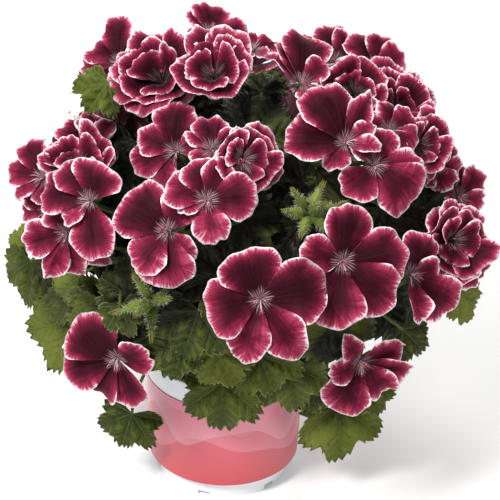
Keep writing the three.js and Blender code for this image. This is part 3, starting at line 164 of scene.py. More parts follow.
FRONT_HEADS = {
    "left": [
        bloom((90, 201), (66, 0.78, 1.25), (118, 0.92, 1.05), (168, 1.08, 0.8), (226, 0.66, 0.7),
            (285, 1.14, 0.76), size=0.95, lift=1.05),
        bloom((68, 232), (110, 0.7, 1), (189, 0.98, 0.85), (249, 1.15, 0.58), (284, 1.02, 0.66),
            (326, 1.15, 0.6), size=0.84, lift=1.0, lean=(-12, -14)),
        bloom((80, 173), (50, 0.8, 1), (110, 0.95, 1.2), (160, 0.9, 1), (235, 0.7, 1), (310, 0.7, 1),
            size=0.84, lift=0.99, lean=(-14, 38), double=True),
        bloom((44, 178), (112, 1.12, 0.72), (165, 0.98, 0.95), (220, 0.9, 0.7), (290, 0.8, 1), (30, 0.8, 1),
            size=0.76, lift=0.99, lean=(-34, 12)),
        bloom((48, 212), (130, 0.8, 0.9), (178, 0.98, 0.6), (212, 0.95, 0.8), (280, 0.7, 1), (20, 0.7, 1),
            size=0.72, lift=0.96, lean=(-36, -8)),
        bloom((94, 149), (98, 1.05, 0.8), (62, 0.9, 0.6), (138, 0.98, 1.1), (215, 0.7, 1), (310, 0.7, 1),
            size=0.78, lift=0.95, lean=(0, 30)),
    ],
    "far_left": [
        bloom((120, 64), (98, 1.4, 0.58), (140, 1.05, 0.95), (178, 1.15, 0.8), (212, 1.2, 0.7), (310, 0.6, 1),
            size=0.76, lift=0.98, lean=(-30, 24)),
    ],
    "top": [
        bloom((214, 81), (104, 1.12, 0.85), (62, 1.05, 0.95), (15, 0.88, 0.9), (172, 0.85, 0.8),
            (245, 0.66, 1), (305, 0.7, 1), size=0.9, lift=1.02, cup=0.35, double=True),
        bloom((163, 85), 100, 152, 205, 258, 312, 45, size=0.94, lift=1.02, cup=0.25, double=True),
        bloom((210, 34), (88, 0.95, 1.2), (132, 1.0, 0.75), (350, 1.1, 1), (210, 0.7, 1), (280, 0.7, 1),
            size=0.7, lift=0.98, lean=(4, 36)),
        bloom((252, 52), (25, 1.0, 0.85), (70, 0.8, 0.8), (330, 0.6, 1), (130, 0.6, 1), (230, 0.6, 1),
            size=0.6, lift=0.95, lean=(10, 44)),
        bloom((134, 106), 130, 190, 250, 310, 60, size=0.6, lift=0.95, lean=(-44, -30)),
    ],
    "middle_left": [
        bloom((207, 201), (106, 0.97, 0.95), (162, 0.98, 0.85), (205, 0.7, 0.65), (282, 1, 0.82),
            (8, 1.1, 0.85), (66, 1.05, 0.7), size=0.78, lift=1.08),
        bloom((212, 150), (97, 1.05, 1.05), (150, 0.95, 0.6), (30, 0.95, 0.7), (230, 0.7, 1), (310, 0.7, 1),
            size=0.64, lift=0.99, lean=(0, 24)),
        bloom((176, 152), (90, 1.12, 0.75), (155, 0.95, 0.78), (191, 1.02, 0.85), (246, 0.9, 0.75),
            (20, 0.7, 0.8), size=0.82, lift=0.99, lean=(-16, 8)),
        bloom((240, 160), (46, 1.12, 0.9), (334, 1.2, 0.75), (285, 0.8, 1), (100, 0.9, 0.6), (200, 0.7, 1),
            size=0.7, lift=0.98, lean=(18, 4), double=True),
        bloom((168, 231), (145, 1.0, 1.05), (270, 1.02, 0.96), (234, 0.95, 0.8), (318, 0.72, 0.6),
            (60, 0.8, 0.8), size=0.98, lift=1.02),
    ],
    "top_right": [
        bloom((302, 84), (84, 1.12, 0.82), (112, 1.05, 0.6), (142, 0.9, 0.42), (40, 0.6, 0.8), (290, 0.5, 1),
            size=0.96, lift=1.0),
        bloom((334, 63), (98, 1.15, 0.9), (135, 1.1, 0.65), (50, 0.95, 1), (200, 0.7, 1), (290, 0.7, 1),
            size=0.76, lift=0.96, lean=(0, 34)),
        bloom((374, 67), (75, 1.0, 0.85), (125, 1.0, 0.9), (20, 0.85, 1), (200, 0.7, 1), (290, 0.7, 1),
            size=0.76, lift=0.96, lean=(14, 32)),
        bloom((395, 115), (88, 1.1, 1.1), (42, 1.0, 1), (135, 0.95, 0.9), (110, 1.4, 0.75), (210, 0.6, 1),
            (320, 0.6, 1), size=0.84, lift=0.98, lean=(10, 26), cup=0.2, double=True),
        bloom((354, 96), (150, 1.0, 0.8), (105, 1.0, 0.85), (55, 0.85, 0.9), (215, 0.7, 1), (300, 0.7, 1),
            size=0.78, lift=1.0, lean=(4, 14), cup=0.2, double=True),
    ],
    "middle_right": [
        bloom((345, 143), (178, 1.08, 0.92), (121, 1.13, 0.9), (64, 0.95, 0.5), (34, 0.64, 0.6),
            (240, 0.6, 0.8), (350, 0.62, 0.6), size=1.04, lift=1.08),
        bloom((374, 166), (229, 0.94, 0.85), (317, 1.0, 0.98), (352, 0.88, 0.8), (128, 0.66, 0.8),
            (72, 0.78, 0.75), size=0.96, lift=1.07),
        bloom((388, 132), 80, 30, 330, 250, 165, size=0.64, lift=0.98),
        bloom((414, 146), (62, 1.25, 0.65), (22, 1.0, 0.9), (345, 1.15, 0.6), (306, 1.2, 0.5),
            (120, 1.05, 0.55), size=0.72, lift=0.97, lean=(26, 4), double=True),
        bloom((434, 164), 95, 20, 345, 300, 215, size=0.56, lift=0.97, lean=(34, -4)),
    ],
    "right": [
        bloom((342, 262), (8, 1.05, 0.92), (320, 1.12, 0.85), (258, 1.08, 0.84), (86, 0.98, 0.82),
            (168, 0.86, 0.84), size=1.02, lift=1.06),
        bloom((410, 275), (84, 0.92, 1.05), (132, 0.7, 0.7), (322, 1.15, 0.86), (283, 1.08, 0.42),
            (25, 0.66, 0.8), size=0.9, lift=1.02),
    ],
    "far_right": [
        bloom((447, 241), 150, 95, 40, 335, 270, 210, size=0.81, lift=1.02, cup=0.2, double=True),
        bloom((458, 197), (95, 1.2, 0.5), (50, 1.1, 0.8), (150, 0.75, 1), (350, 0.85, 0.8), (250, 0.7, 1),
            size=0.68, lift=0.97, lean=(28, 8)),
        bloom((466, 262), 20, 330, 268, 210, 100, size=0.56, lift=0.96, lean=(30, -14)),
    ],
    "centre": [
        bloom((260, 299), (110, 0.88, 1.05), (192, 0.88, 1.1), (255, 1.06, 0.7), (307, 1.12, 0.7),
            (17, 1.06, 1.0), size=1.07, lift=1.1),
    ],
    "low_left": [
        bloom((117, 358), (122, 0.98, 1.08), (187, 1.12, 0.84), (233, 1.05, 0.78), (293, 1.0, 0.86),
            (18, 0.76, 1.02), size=1.05, lift=1.04),
    ],
    "low_right": [
        bloom((360, 361), (34, 0.9, 0.74), (356, 1.05, 0.55), (315, 0.86, 0.7), (249, 1.1, 0.8),
            (200, 0.72, 0.74), (127, 0.78, 0.6), size=0.98, lift=1.03),
    ],
}

BACK_ROWS = [
    {"elevation": 57, "from": 122, "to": 238, "count": 3, "tier": "upper"},
    {"elevation": 33, "from": 106, "to": 252, "count": 5, "tier": "upper"},
    {"elevation": 9, "from": 100, "to": 260, "count": 6, "tier": "lower"},
    {"elevation": -15, "from": 114, "to": 246, "count": 4, "tier": "lower"},
]

FRONT_LEAVES = [
    front(222, 402, 268, 0.86, depth=-86), front(224, 366, 300, 0.66, depth=-94),
    front(266, 372, 290, 0.74, depth=-86), front(292, 384, 285, 0.86, depth=-76),
    front(341, 426, 274, 0.98, depth=-52), front(370, 396, 300, 0.62, depth=-44),
    front(320, 386, 250, 0.8, depth=-70), front(127, 428, 250, 0.68, depth=-54),
    front(62, 340, 240, 0.95, depth=-44), front(92, 312, 215, 0.7, depth=-66),
    front(27, 278, 250, 0.78, depth=-14), front(20, 242, 160, 0.5, depth=10),
    front(118, 290, 150, 0.62, shell=0.93), front(124, 318, 285, 0.5, shell=0.97),
    front(192, 330, 250, 0.82, shell=0.88), front(168, 348, 205, 0.7, shell=0.93),
    front(394, 314, 290, 0.92, shell=0.88), front(468, 296, 345, 0.6, depth=-20),
    front(412, 338, 320, 0.56, shell=0.95), front(232, 96, 250, 1.1, shell=0.8),
    front(264, 84, 75, 0.42, shell=0.93), front(262, 122, 60, 0.9, shell=0.82),
    front(99, 94, 235, 0.6, depth=-24), front(128, 128, 300, 0.6, shell=0.84),
    front(256, 222, 0, 0.62, shell=0.9), front(288, 190, 200, 0.7, shell=0.8),
    front(292, 240, 235, 0.6, shell=0.86), front(208, 262, 150, 0.9, shell=0.82),
    front(428, 196, 60, 0.5, shell=0.9), front(330, 334, 240, 0.9, shell=0.84),
    front(143, 338, 205, 0.7, depth=-50), front(206, 92, 230, 0.8, shell=0.84),
    front(70, 284, 215, 0.72, shell=0.9), front(128, 160, 250, 0.8, shell=0.8),
    front(392, 226, 300, 0.8, shell=0.82), front(152, 292, 220, 0.9, shell=0.78),
    front(100, 332, 240, 0.8, shell=0.84), front(200, 304, 270, 0.8, shell=0.8),
    front(64, 306, 230, 0.6, depth=-40),
]

LEAF_RINGS = [
    {"count": 8, "from": 84, "to": 276, "elevation": -30, "shell": 0.84, "size": 1.15},
    {"count": 7, "from": 96, "to": 264, "elevation": -10, "shell": 0.8, "size": 1},
    {"count": 6, "from": 20, "to": 320, "elevation": 10, "shell": 0.56, "size": 1},
    {"count": 4, "from": 45, "to": 315, "elevation": 42, "shell": 0.58, "size": 1},
]

# Ways in which a petiole may leave its stem: how much later along it, how far sideways and how far down
PETIOLE_BENDS = [
    (0, 0, 0), (-0.12, 0.4, 0), (-0.12, -0.4, 0), (0.12, 0.5, 0.5), (0.12, -0.5, 0.5),
    (0.25, 0, 2), (-0.25, 0, 0),
]

BUD_HEADS = [
    {"name": "buds_middle", "at": [309, 214], "buds": 7, "lift": 0.98},
    {"name": "buds_left", "at": [152, 300], "buds": 5, "lift": 0.96},
]

BACK_BUD_HEADS = [
    {"name": "buds_back", "azimuth": 180, "elevation": 16, "buds": 4},
    {"name": "buds_right", "azimuth": 92, "elevation": 10, "buds": 4},
]

# Placing: the same places, frames and forms as the solids have


def stream(seed):
    """A seeded stream of numbers from 0 to 1"""
    state = seed & 0xFFFFFFFF

    def draw():
        nonlocal state
        state = (state * 1664525 + 1013904223) & 0xFFFFFFFF
        return state / 4294967296

    return draw


def swing(draw, reach):
    """A number between -reach and reach"""
    return (2 * draw() - 1) * reach


def draws(draw, count):
    return np.array([draw() for _ in range(count)])


def vec(x, y, z):
    return np.array([x, y, z], float)


def unit(v):
    return v / math.sqrt(float(v @ v))


def unit_rows(ways):
    """Each of many directions at a length of one"""
    return ways / np.maximum(np.linalg.norm(ways, axis=-1, keepdims=True), 1e-6)


def clamp(value, low, high):
    return max(low, min(high, value))


def around(turn, right, up):
    return math.cos(turn) * right + math.sin(turn) * up


def rows_around(turns, right, up):
    return np.cos(turns)[:, None] * right + np.sin(turns)[:, None] * up


FORWARD = vec(0, math.cos(VIEW_PITCH), -math.sin(VIEW_PITCH))
RIGHT = vec(1, 0, 0)
UP = vec(0, math.sin(VIEW_PITCH), math.cos(VIEW_PITCH))
EYE = VIEW_TARGET - VIEW_DISTANCE * FORWARD


def unroll(x, y):
    """The picture's two directions, turned by the view's roll, as x and y along RIGHT and UP"""
    cos, sin = math.cos(VIEW_ROLL), math.sin(VIEW_ROLL)
    return x * cos - y * sin, x * sin + y * cos


def ray_through(at):
    x, y = unroll(at[0] - VIEW_MIDDLE, VIEW_MIDDLE - at[1])
    return unit(VIEW_FOCAL * FORWARD + x * RIGHT + y * UP)


def on_crown(at, lift):
    """The first point of the crown, grown by lift, that the ray meets, or where it passes nearest"""
    ray = ray_through(at)
    half = CROWN_HALF * lift
    start = (EYE - CROWN_CENTRE) / half
    step = ray / half
    nearest = -(start @ step) / (step @ step)
    closest = start + nearest * step
    miss = closest @ closest
    back = math.sqrt((1 - miss) / (step @ step)) if miss < 1 else 0
    return EYE + (nearest - back) * ray


def at_depth(at, depth):
    ray = ray_through(at)
    return EYE + (depth - EYE[1]) / ray[1] * ray


def crown_point(azimuth, elevation, shell):
    a, e = azimuth * DEG, elevation * DEG
    way = vec(math.sin(a) * math.cos(e), -math.cos(a) * math.cos(e), math.sin(e))
    return way * CROWN_HALF * shell + CROWN_CENTRE


def crown_normal(point):
    return unit((point - CROWN_CENTRE) / CROWN_HALF / CROWN_HALF)


def facing_frame(axis):
    """Right, up and facing axes of a thing that faces along axis"""
    right = unit(np.cross(UP, axis))
    return right, unit(np.cross(axis, right)), axis


def petals_of(entry, draw):
    size = entry.get("size", 1)
    petals = []
    for given in entry["petals"]:
        angle, long, wide = given if isinstance(given, tuple) else (given, 1, 1)
        length = PETAL_LENGTH * size * long * (1 + swing(draw, 0.06))
        half_width = length * PETAL_HALF_WIDTH * wide * (1 + swing(draw, 0.08))
        curl, fold = swing(draw, 0.3), clamp(0.5 * (0.85 - wide), 0, 0.2)
        form = {"length": length, "half_width": half_width, "curl": curl, "fold": fold}
        petals.append(SimpleNamespace(angle=angle % 360, **form))
    return petals


def place_bloom(entry, throat, seed):
    draw = stream(seed)
    to_eye = unit(EYE - throat)
    axis = crown_normal(throat)
    if "lean" in entry:
        right, up = [math.tan(angle * DEG) for angle in entry["lean"]]
        axis = to_eye + right * RIGHT + up * UP
    elif "at" in entry:
        axis = axis + FACE_VIEWER / (1 - FACE_VIEWER) * to_eye
    axis = unit(axis)
    right, up, axis = facing_frame(axis)
    return SimpleNamespace(
        kind="bloom",
        seed=seed,
        throat=throat.copy(),
        reach=PETAL_LENGTH * entry.get("size", 1),
        nudge=to_eye if "at" in entry else axis.copy(),
        shift=0.0,
        right=right,
        up=up,
        axis=axis,
        rise=0.5 + entry.get("cup", 0) + swing(draw, 0.1),
        bend=0.42 + swing(draw, 0.1),
        ruffle=2 + swing(draw, 0.8),
        waves=11 + math.floor(4 * draw()),
        phase=draw() * TURN,
        petals=petals_of(entry, draw),
        double=entry.get("double", False),
        root=None,
    )


def leaf_height(leaf, angle, reach):
    """How high a leaf stands: cupped at the sides, drooping at the tip, pleated along the ribs and waved"""
    share = angle / LEAF_HALF_ANGLE
    pleat = LEAF_PLEAT * np.cos(LEAF_LOBES * math.pi * share) * reach
    wave = 0.05 * np.sin(leaf.waves * angle + leaf.phase) * reach * reach
    square = reach * reach
    return leaf.radius * (leaf.cup * square * share * share - leaf.droop * square - pleat + wave)


def face_height(face, x, y):
    """How high a face stands at a place in its plane. A bloom is a shallow cup with an outward ruffle."""
    if face.kind == "leaf":
        ahead = x + LEAF_MIDDLE * face.radius
        return leaf_height(face, np.arctan2(y, ahead), np.hypot(y, ahead) / face.radius)
    reach = np.hypot(x, y) / face.reach
    wave = np.sin(face.waves * np.arctan2(y, x) + face.phase)
    ruffle = face.ruffle * np.minimum(1.2, reach) ** 3 * wave
    return face.reach * (face.rise * reach - face.bend * reach * reach) + ruffle


def prepare(face):
    """The places of a face where its height above another is sampled, as offsets from its throat"""
    face.axes = np.stack([face.right, face.up, face.axis], axis=1)
    near = np.arange(NUDGE_SAMPLES) + 0.5
    far = np.arange(NUDGE_SAMPLES) + 0.0
    turns = np.concatenate([near, far]) * TURN / NUDGE_SAMPLES
    reaches = np.repeat(NUDGE_REACHES, NUDGE_SAMPLES) * face.reach
    x, y = reaches * np.cos(turns), reaches * np.sin(turns)
    face.offsets = np.stack([x, y, face_height(face, x, y)], axis=1) @ face.axes.T


def heights_above(a, b):
    """The least and the greatest height of b above a where they overlap"""
    local = (b.offsets + (b.throat - a.throat)) @ a.axes
    x, y = local[:, 0], local[:, 1]
    over = np.hypot(x, y) <= NUDGE_OVERLAP * a.reach
    if not over.any():
        return math.inf, -math.inf
    height = local[over, 2] - face_height(a, x[over], y[over])
    return float(height.min()), float(height.max())


def nudge_face(face, by):
    to = clamp(face.shift + by, -NUDGE_LIMIT, NUDGE_LIMIT)
    step = (to - face.shift) * face.nudge
    face.throat = face.throat + step
    if face.root is not None:
        face.root = face.root + step
    face.shift = to


def push_between(a, b, space):
    """How far b has to move forward of a, or back where it is negative, so that the two don't cross"""
    apart = b.throat - a.throat
    if math.sqrt(float(apart @ apart)) > a.reach + b.reach:
        return 0
    least, most = heights_above(a, b)
    least_back, most_back = heights_above(b, a)
    if least == math.inf and least_back == math.inf:
        return 0
    low = min(least, -most_back)
    high = max(most, -least_back)
    return max(0, space - low) if high > -low else -max(0, space + high)


def settle(faces, fixed, space):
    """Nudges crossing faces apart, so that each lies over or under its neighbours"""
    for face in [*faces, *fixed]:
        prepare(face)
    for _ in range(NUDGE_ROUNDS):
        moved = 0
        for i, a in enumerate(faces):
            for b in faces[i + 1 :]:
                push = push_between(a, b, space)
                if push:
                    nudge_face(b, NUDGE_STEP * push)
                    nudge_face(a, -NUDGE_STEP * push)
                    moved += abs(push)
            for b in fixed:
                push = push_between(a, b, space)
                if push:
                    nudge_face(a, -NUDGE_STEP_FROM_FIXED * push)
                    moved += abs(push)
        if not moved:
            break


def front_heads():
    made = []
    for k, (name, entries) in enumerate(FRONT_HEADS.items()):
        first = SEEDS["front_bloom"] + SEED_STEP * k
        blooms = [place_bloom(e, on_crown(e["at"], e["lift"]), first + i) for i, e in enumerate(entries)]
        made.append(SimpleNamespace(name=name, blooms=blooms))
    return made


def back_heads():
    placed = []
    for k, row in enumerate(BACK_ROWS):
        for i in range(row["count"]):
            draw = stream(SEEDS["back_place"] + SEED_STEP * k + i)
            share = i / (row["count"] - 1)
            azimuth = row["from"] + (row["to"] - row["from"]) * share + swing(draw, 4)
            elevation = row["elevation"] + swing(draw, 3)
            throat = crown_point(azimuth, elevation, 0.99 + swing(draw, 0.03))
            first = 360 * draw()
            petals = [first + n * 72 + swing(draw, 8) for n in range(5)]
            entry = {"petals": petals, "size": BACK_SIZE * (1 + swing(draw, 0.1))}
            bloom = place_bloom(entry, throat, SEEDS["back_bloom"] + SEED_STEP * k + i)
            placed.append((azimuth, row["tier"], bloom))
    made = []
    for tier in ("upper", "lower"):
        for k, end in enumerate(BACK_SECTORS[1:]):
            blooms = [b for a, t, b in placed if t == tier and BACK_SECTORS[k] <= a < end]
            made.append(SimpleNamespace(name=f"back_{tier}_{k + 1}", blooms=blooms))
    return made


def hub_of(blooms):
    """The hub that a head's stalks part from, behind the middle of its blooms"""
    middle = sum(b.throat for b in blooms) / len(blooms)
    return middle - PEDICEL_LENGTH * unit(sum(b.axis for b in blooms))


def bud_head(head, place, seed):
    draw = stream(seed)
    right, up, axis = facing_frame(crown_normal(place))
    buds = []
    for i in range(head["buds"]):
        turn = (i + 0.3 * draw()) * TURN / (head["buds"] - 1)
        spread = 0.1 if i == head["buds"] - 1 else 1.4 + 0.6 * draw()
        way = unit(axis + math.cos(turn) * spread * right + math.sin(turn) * spread * up)
        root = place + (3 + 2.5 * draw()) * way
        buds.append(SimpleNamespace(root=root, way=way, length=BUD_LENGTH * (0.85 + 0.3 * draw())))
    return SimpleNamespace(name=head["name"], hub=place, buds=buds, axis=axis)


def place_leaf(middle, normal, direction, nudge, size, seed):
    draw = stream(seed)
    tip = unit(direction - (direction @ normal) * normal)
    radius = LEAF_RADIUS * size * (1 + swing(draw, 0.05))
    side = np.cross(normal, tip)
    return SimpleNamespace(
        kind="leaf",
        seed=seed,
        throat=middle.copy(),
        reach=0.82 * radius,
        nudge=nudge,
        shift=0.0,
        right=tip,
        up=side,
        axis=normal,
        root=middle - LEAF_MIDDLE * radius * tip,
        tip=tip,
        side=side,
        normal=normal,
        radius=radius,
        cup=0.22 + swing(draw, 0.12),
        droop=0.14 + swing(draw, 0.1),
        waves=3,
        phase=draw() * TURN,
    )


def front_leaf(entry, index):
    at = entry["at"]
    middle = on_crown(at, entry["shell"]) if "shell" in entry else at_depth(at, entry["depth"])
    to_eye = unit(EYE - middle)
    normal = 0.5 * crown_normal(middle) + 0.6 * to_eye
    normal[2] = max(normal[2], 0.25)
    x, y = unroll(math.cos(entry["point"] * DEG), math.sin(entry["point"] * DEG))
    seed = SEEDS["front_leaf"] + index
    return place_leaf(middle, unit(normal), x * RIGHT + y * UP, to_eye, entry["size"], seed)


def ring_leaves(ring, k):
    made = []
    for i in range(ring["count"]):
        draw = stream(SEEDS["ring_leaf"] + SEED_STEP * k + i)
        azimuth = ring["from"] + (ring["to"] - ring["from"]) * i / (ring["count"] - 1) + swing(draw, 6)
        elevation = ring["elevation"] + swing(draw, 5)
        middle = crown_point(azimuth, elevation, ring["shell"] + swing(draw, 0.02))
        normal = crown_normal(middle)
        normal[2] += 0.35
        down = vec(swing(draw, 0.6), swing(draw, 0.6), -1)
        size = ring["size"] * (1 + swing(draw, 0.12))
        seed = SEEDS["ring_leaf_form"] + SEED_STEP * k + i
        made.append(place_leaf(middle, unit(normal), down, crown_normal(middle), size, seed))
    return made


class Bezier:
    """A cubic curve that can be walked by its length"""

    def __init__(self, *points):
        self.points = np.array(points)
        self.shares = np.linspace(0, 1, 201)
        places = self.point(self.shares)
        steps = np.linalg.norm(np.diff(places, axis=0), axis=1)
        self.lengths = np.concatenate([[0], np.cumsum(steps)])

    def point(self, t):
        t = np.asarray(t, float)[..., None]
        a, b, c, d = self.points
        return (1 - t) ** 3 * a + 3 * (1 - t) ** 2 * t * b + 3 * (1 - t) * t * t * c + t**3 * d

    def tangent(self, t):
        a, b, c, d = self.points
        return unit(3 * (1 - t) ** 2 * (b - a) + 6 * (1 - t) * t * (c - b) + 3 * t * t * (d - c))

    def share_at(self, u):
        return float(np.interp(u * self.lengths[-1], self.lengths, self.shares))

    def walk(self, steps):
        shares = np.interp(np.linspace(0, self.lengths[-1], steps + 1), self.lengths, self.shares)
        return self.point(shares)


def stem_curve(x, y, tip):
    return Bezier(
        vec(x, y, SOIL_SURFACE - STEM_DEPTH_IN_SOIL),
        vec(x * 1.05, y * 1.05, SOIL_SURFACE + 30),
        vec(x * 1.6 + 0.2 * tip[0], y * 1.6 + 0.2 * tip[1], SOIL_SURFACE + 0.45 * (tip[2] - SOIL_SURFACE)),
        tip,
    )


def stalk_curve(stem, along, end, arrive):
    """A stalk that leaves the stem along its own direction and arrives at end from behind"""
    share = stem.curve.share_at(along)
    start = stem.curve.point(share)
    span = 0.4 * math.sqrt(float((end - start) @ (end - start)))
    return Bezier(start, start + span * stem.curve.tangent(share), end - span * arrive, end)


def nearest_stem(place):
    out = unit(place - CROWN_CENTRE)
    return max(stems, key=lambda stem: float(unit(stem.tip - CROWN_CENTRE) @ out))


def petiole_start(stem, leaf):
    """The share of the stem's length that a leaf's petiole leaves it at"""
    height = (leaf.root[2] - SOIL_SURFACE) / (stem.tip[2] - SOIL_SURFACE)
    return clamp(0.3 + 0.5 * height, 0.42, 0.95)


stems = []
for name, (x, y), azimuth, elevation in STEMS:
    curve = stem_curve(x, y, crown_point(azimuth, elevation, STEM_REACH))
    stems.append(SimpleNamespace(name=name, curve=curve, tip=curve.point(1), stalks=[], buds=[], leaves=[]))

heads = [*front_heads(), *back_heads()]
all_blooms = [face for head in heads for face in head.blooms]
settle(all_blooms, [], BLOOM_SPACE)
bud_heads = []
for i, head in enumerate(BUD_HEADS):
    bud_heads.append(bud_head(head, on_crown(head["at"], head["lift"]), SEEDS["bud_head"] + i))
for i, head in enumerate(BACK_BUD_HEADS):
    place = crown_point(head["azimuth"], head["elevation"], BACK_BUD_SHELL)
    bud_heads.append(bud_head(head, place, SEEDS["back_bud_head"] + i))
leaves = [front_leaf(entry, i) for i, entry in enumerate(FRONT_LEAVES)]
leaves += [leaf for k, ring in enumerate(LEAF_RINGS) for leaf in ring_leaves(ring, k)]
settle(leaves, all_blooms, LEAF_SPACE)


# Meshes

# Painted shade in the crown: growth is gathered in cells, and looked through along a few ways out of each of
# them; where little light gets through, colours are darkened
PAINTED_SHADE_PIECES = []
SHELTER_CELL = 5.0
SHELTER_MARGIN = 70
SHELTER_DEPTH = 0.2
SHELTER_STEPS = np.arange(12.0, 64.0, 4.0)
SHELTER_WAYS = [(0, 0, 0), (0, 0, 1.3), (1.2, 0, 0.3), (-1.2, 0, 0.3), (0, -1.3, 0.2), (0, 1.2, 0.6)]

# What a place on a green piece belongs to, as its look reads it
STALK_KIND, FILAMENT_KIND, STIGMA_KIND, ANTHER_KIND, HAIR_KIND, BUD_KIND = map(float, range(6))


def soften(grid, rounds):
    """Spreads the values of a grid a little, as often as asked"""
    for _ in range(rounds):
        for axis in range(3):
            grid = 0.5 * grid + 0.25 * (np.roll(grid, 1, axis) + np.roll(grid, -1, axis))
    return grid


def read_rows(items, key, width):
    values = np.empty(width * len(items), np.float32)
    items.foreach_get(key, values)
    return values.reshape(-1, width) if width > 1 else values


def bake_painted_shade(pieces):
    """Writes on each piece, as painted shade from 0 to 1, how far the growth round each of its points keeps
    the light off it
    """
    places = [read_rows(piece.data.vertices, "co", 3) * MILLIMETRES for piece in pieces]
    middles = np.concatenate([read_rows(piece.data.polygons, "center", 3) * MILLIMETRES for piece in pieces])
    areas = np.concatenate([read_rows(piece.data.polygons, "area", 1) * MILLIMETRES**2 for piece in pieces])
    low = np.min([spots.min(axis=0) for spots in places], axis=0) - SHELTER_MARGIN
    high = np.max([spots.max(axis=0) for spots in places], axis=0) + SHELTER_MARGIN
    shape = np.ceil((high - low) / SHELTER_CELL).astype(int)
    grown = np.zeros(shape)
    np.add.at(grown, tuple(((middles - low) / SHELTER_CELL).astype(int).T), areas / SHELTER_CELL**2)
    grown = soften(grown, 2)
    centres = np.stack(np.meshgrid(*[np.arange(n) for n in shape], indexing="ij"), axis=3)
    out = unit_rows((low + (centres + 0.5) * SHELTER_CELL) - CROWN_CENTRE)
    open_sky = np.zeros(shape)
    for lean in SHELTER_WAYS:
        way = unit_rows(out + np.array(lean))
        depth = np.zeros(shape)
        for step in SHELTER_STEPS:
            at = np.clip(np.rint(centres + way * (step / SHELTER_CELL)).astype(int), 0, shape - 1)
            depth += grown[at[..., 0], at[..., 1], at[..., 2]]
        open_sky += np.exp(-SHELTER_DEPTH * depth) / len(SHELTER_WAYS)
    open_sky = soften(open_sky, 1)
    for piece, spots in zip(pieces, places):
        at = (spots - low) / SHELTER_CELL - 0.5
        first = np.clip(np.floor(at).astype(int), 0, shape - 2)
        part = at - first
        value = np.zeros(len(spots))
        for corner in np.ndindex(2, 2, 2):
            share = np.prod(np.where(corner, part, 1 - part), axis=1)
            value += share * open_sky[tuple((first + corner).T)]
        piece.data.attributes["inside"].data.foreach_set("value", (1 - value).astype(np.float32))


class Sheet:
    """Gathers points, faces and a value per point for each named attribute, and makes one mesh of them"""

    def __init__(self, *names):
        self.points, self.faces = [], []
        self.values = {name: [] for name in names}
        self.count = 0

    def add(self, points, faces, **values):
        points = np.asarray(points, float).reshape(-1, 3)
        self.points.append(points)
        self.faces.extend(np.asarray(face, int) + self.count for face in faces)
        for name, rows in self.values.items():
            rows.append(np.broadcast_to(np.asarray(values.get(name, 0.0), float), len(points)))
        self.count += len(points)

    def make(self, name, material, smooth=True):
        faces = [row for block in self.faces for row in np.atleast_2d(block).tolist()]
        mesh = bpy.data.meshes.new(name)
        mesh.from_pydata((np.concatenate(self.points) * METRES).tolist(), [], faces)
        values = {key: np.concatenate(rows) for key, rows in self.values.items()}
        # Painted shade per point, left at nothing here and written once the whole plant is made
        values["inside"] = np.zeros(self.count)
        for key, value in values.items():
            layer = mesh.attributes.new(key, "FLOAT", "POINT")
            layer.data.foreach_set("value", value.astype(np.float32))
        mesh.polygons.foreach_set("use_smooth", np.full(len(mesh.polygons), smooth))
        mesh.materials.append(material)
        mesh.update()
        piece = bpy.data.objects.new(name, mesh)
        bpy.context.scene.collection.objects.link(piece)
        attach(piece, "root")
        PAINTED_SHADE_PIECES.append(piece)
        return piece


def grid_faces(rows, columns, first=0, closed=False, flip=False):
    """Quads between the rows of a grid of points, each row columns long"""
    k = np.arange(columns if closed else columns - 1)
    after = (k + 1) % columns
    made = []
    for row in range(rows - 1):
        low, high = first + row * columns, first + (row + 1) * columns
        quad = np.stack([low + k, low + after, high + after, high + k], axis=1)
        made.append(quad[:, ::-1] if flip else quad)
    return made


def fan_faces(first, count, hub):
    """Triangles from a ring of points to the point at its middle"""
    k = np.arange(count)
    return np.stack([first + k, first + (k + 1) % count, np.full(count, hub)], axis=1)


def across_of(ways):
    """Two directions square to each of a row of directions, turning as little as they can along it"""
    one = unit(np.cross(ways[0], [0.0, 0.0, 1.0] if abs(ways[0][2]) < 0.9 else [1.0, 0.0, 0.0]))
    ones, twos = [], []
    for way in ways:
        one = unit(one - (one @ way) * way)
        ones.append(one)
        twos.append(np.cross(way, one))
    return np.array(ones), np.array(twos)


def tube(sheet, places, radii, sides, **values):
    """A round stalk through a row of places, closed at its far end"""
    places = np.asarray(places, float)
    ones, twos = across_of(unit_rows(np.gradient(places, axis=0)))
    turns = np.arange(sides) * TURN / sides
    radii = np.broadcast_to(np.asarray(radii, float), len(places))
    ring = ones[:, None] * np.cos(turns)[None, :, None] + twos[:, None] * np.sin(turns)[None, :, None]
    points = (places[:, None] + ring * radii[:, None, None]).reshape(-1, 3)
    faces = grid_faces(len(places), sides, closed=True)
    faces.append(fan_faces((len(places) - 1) * sides, sides, len(points)))
    sheet.add(np.concatenate([points, places[-1:]]), faces, **values)


def smooth_step(value, low, high):
    t = np.clip((value - low) / (high - low), 0, 1)
    return t * t * (3 - 2 * t)


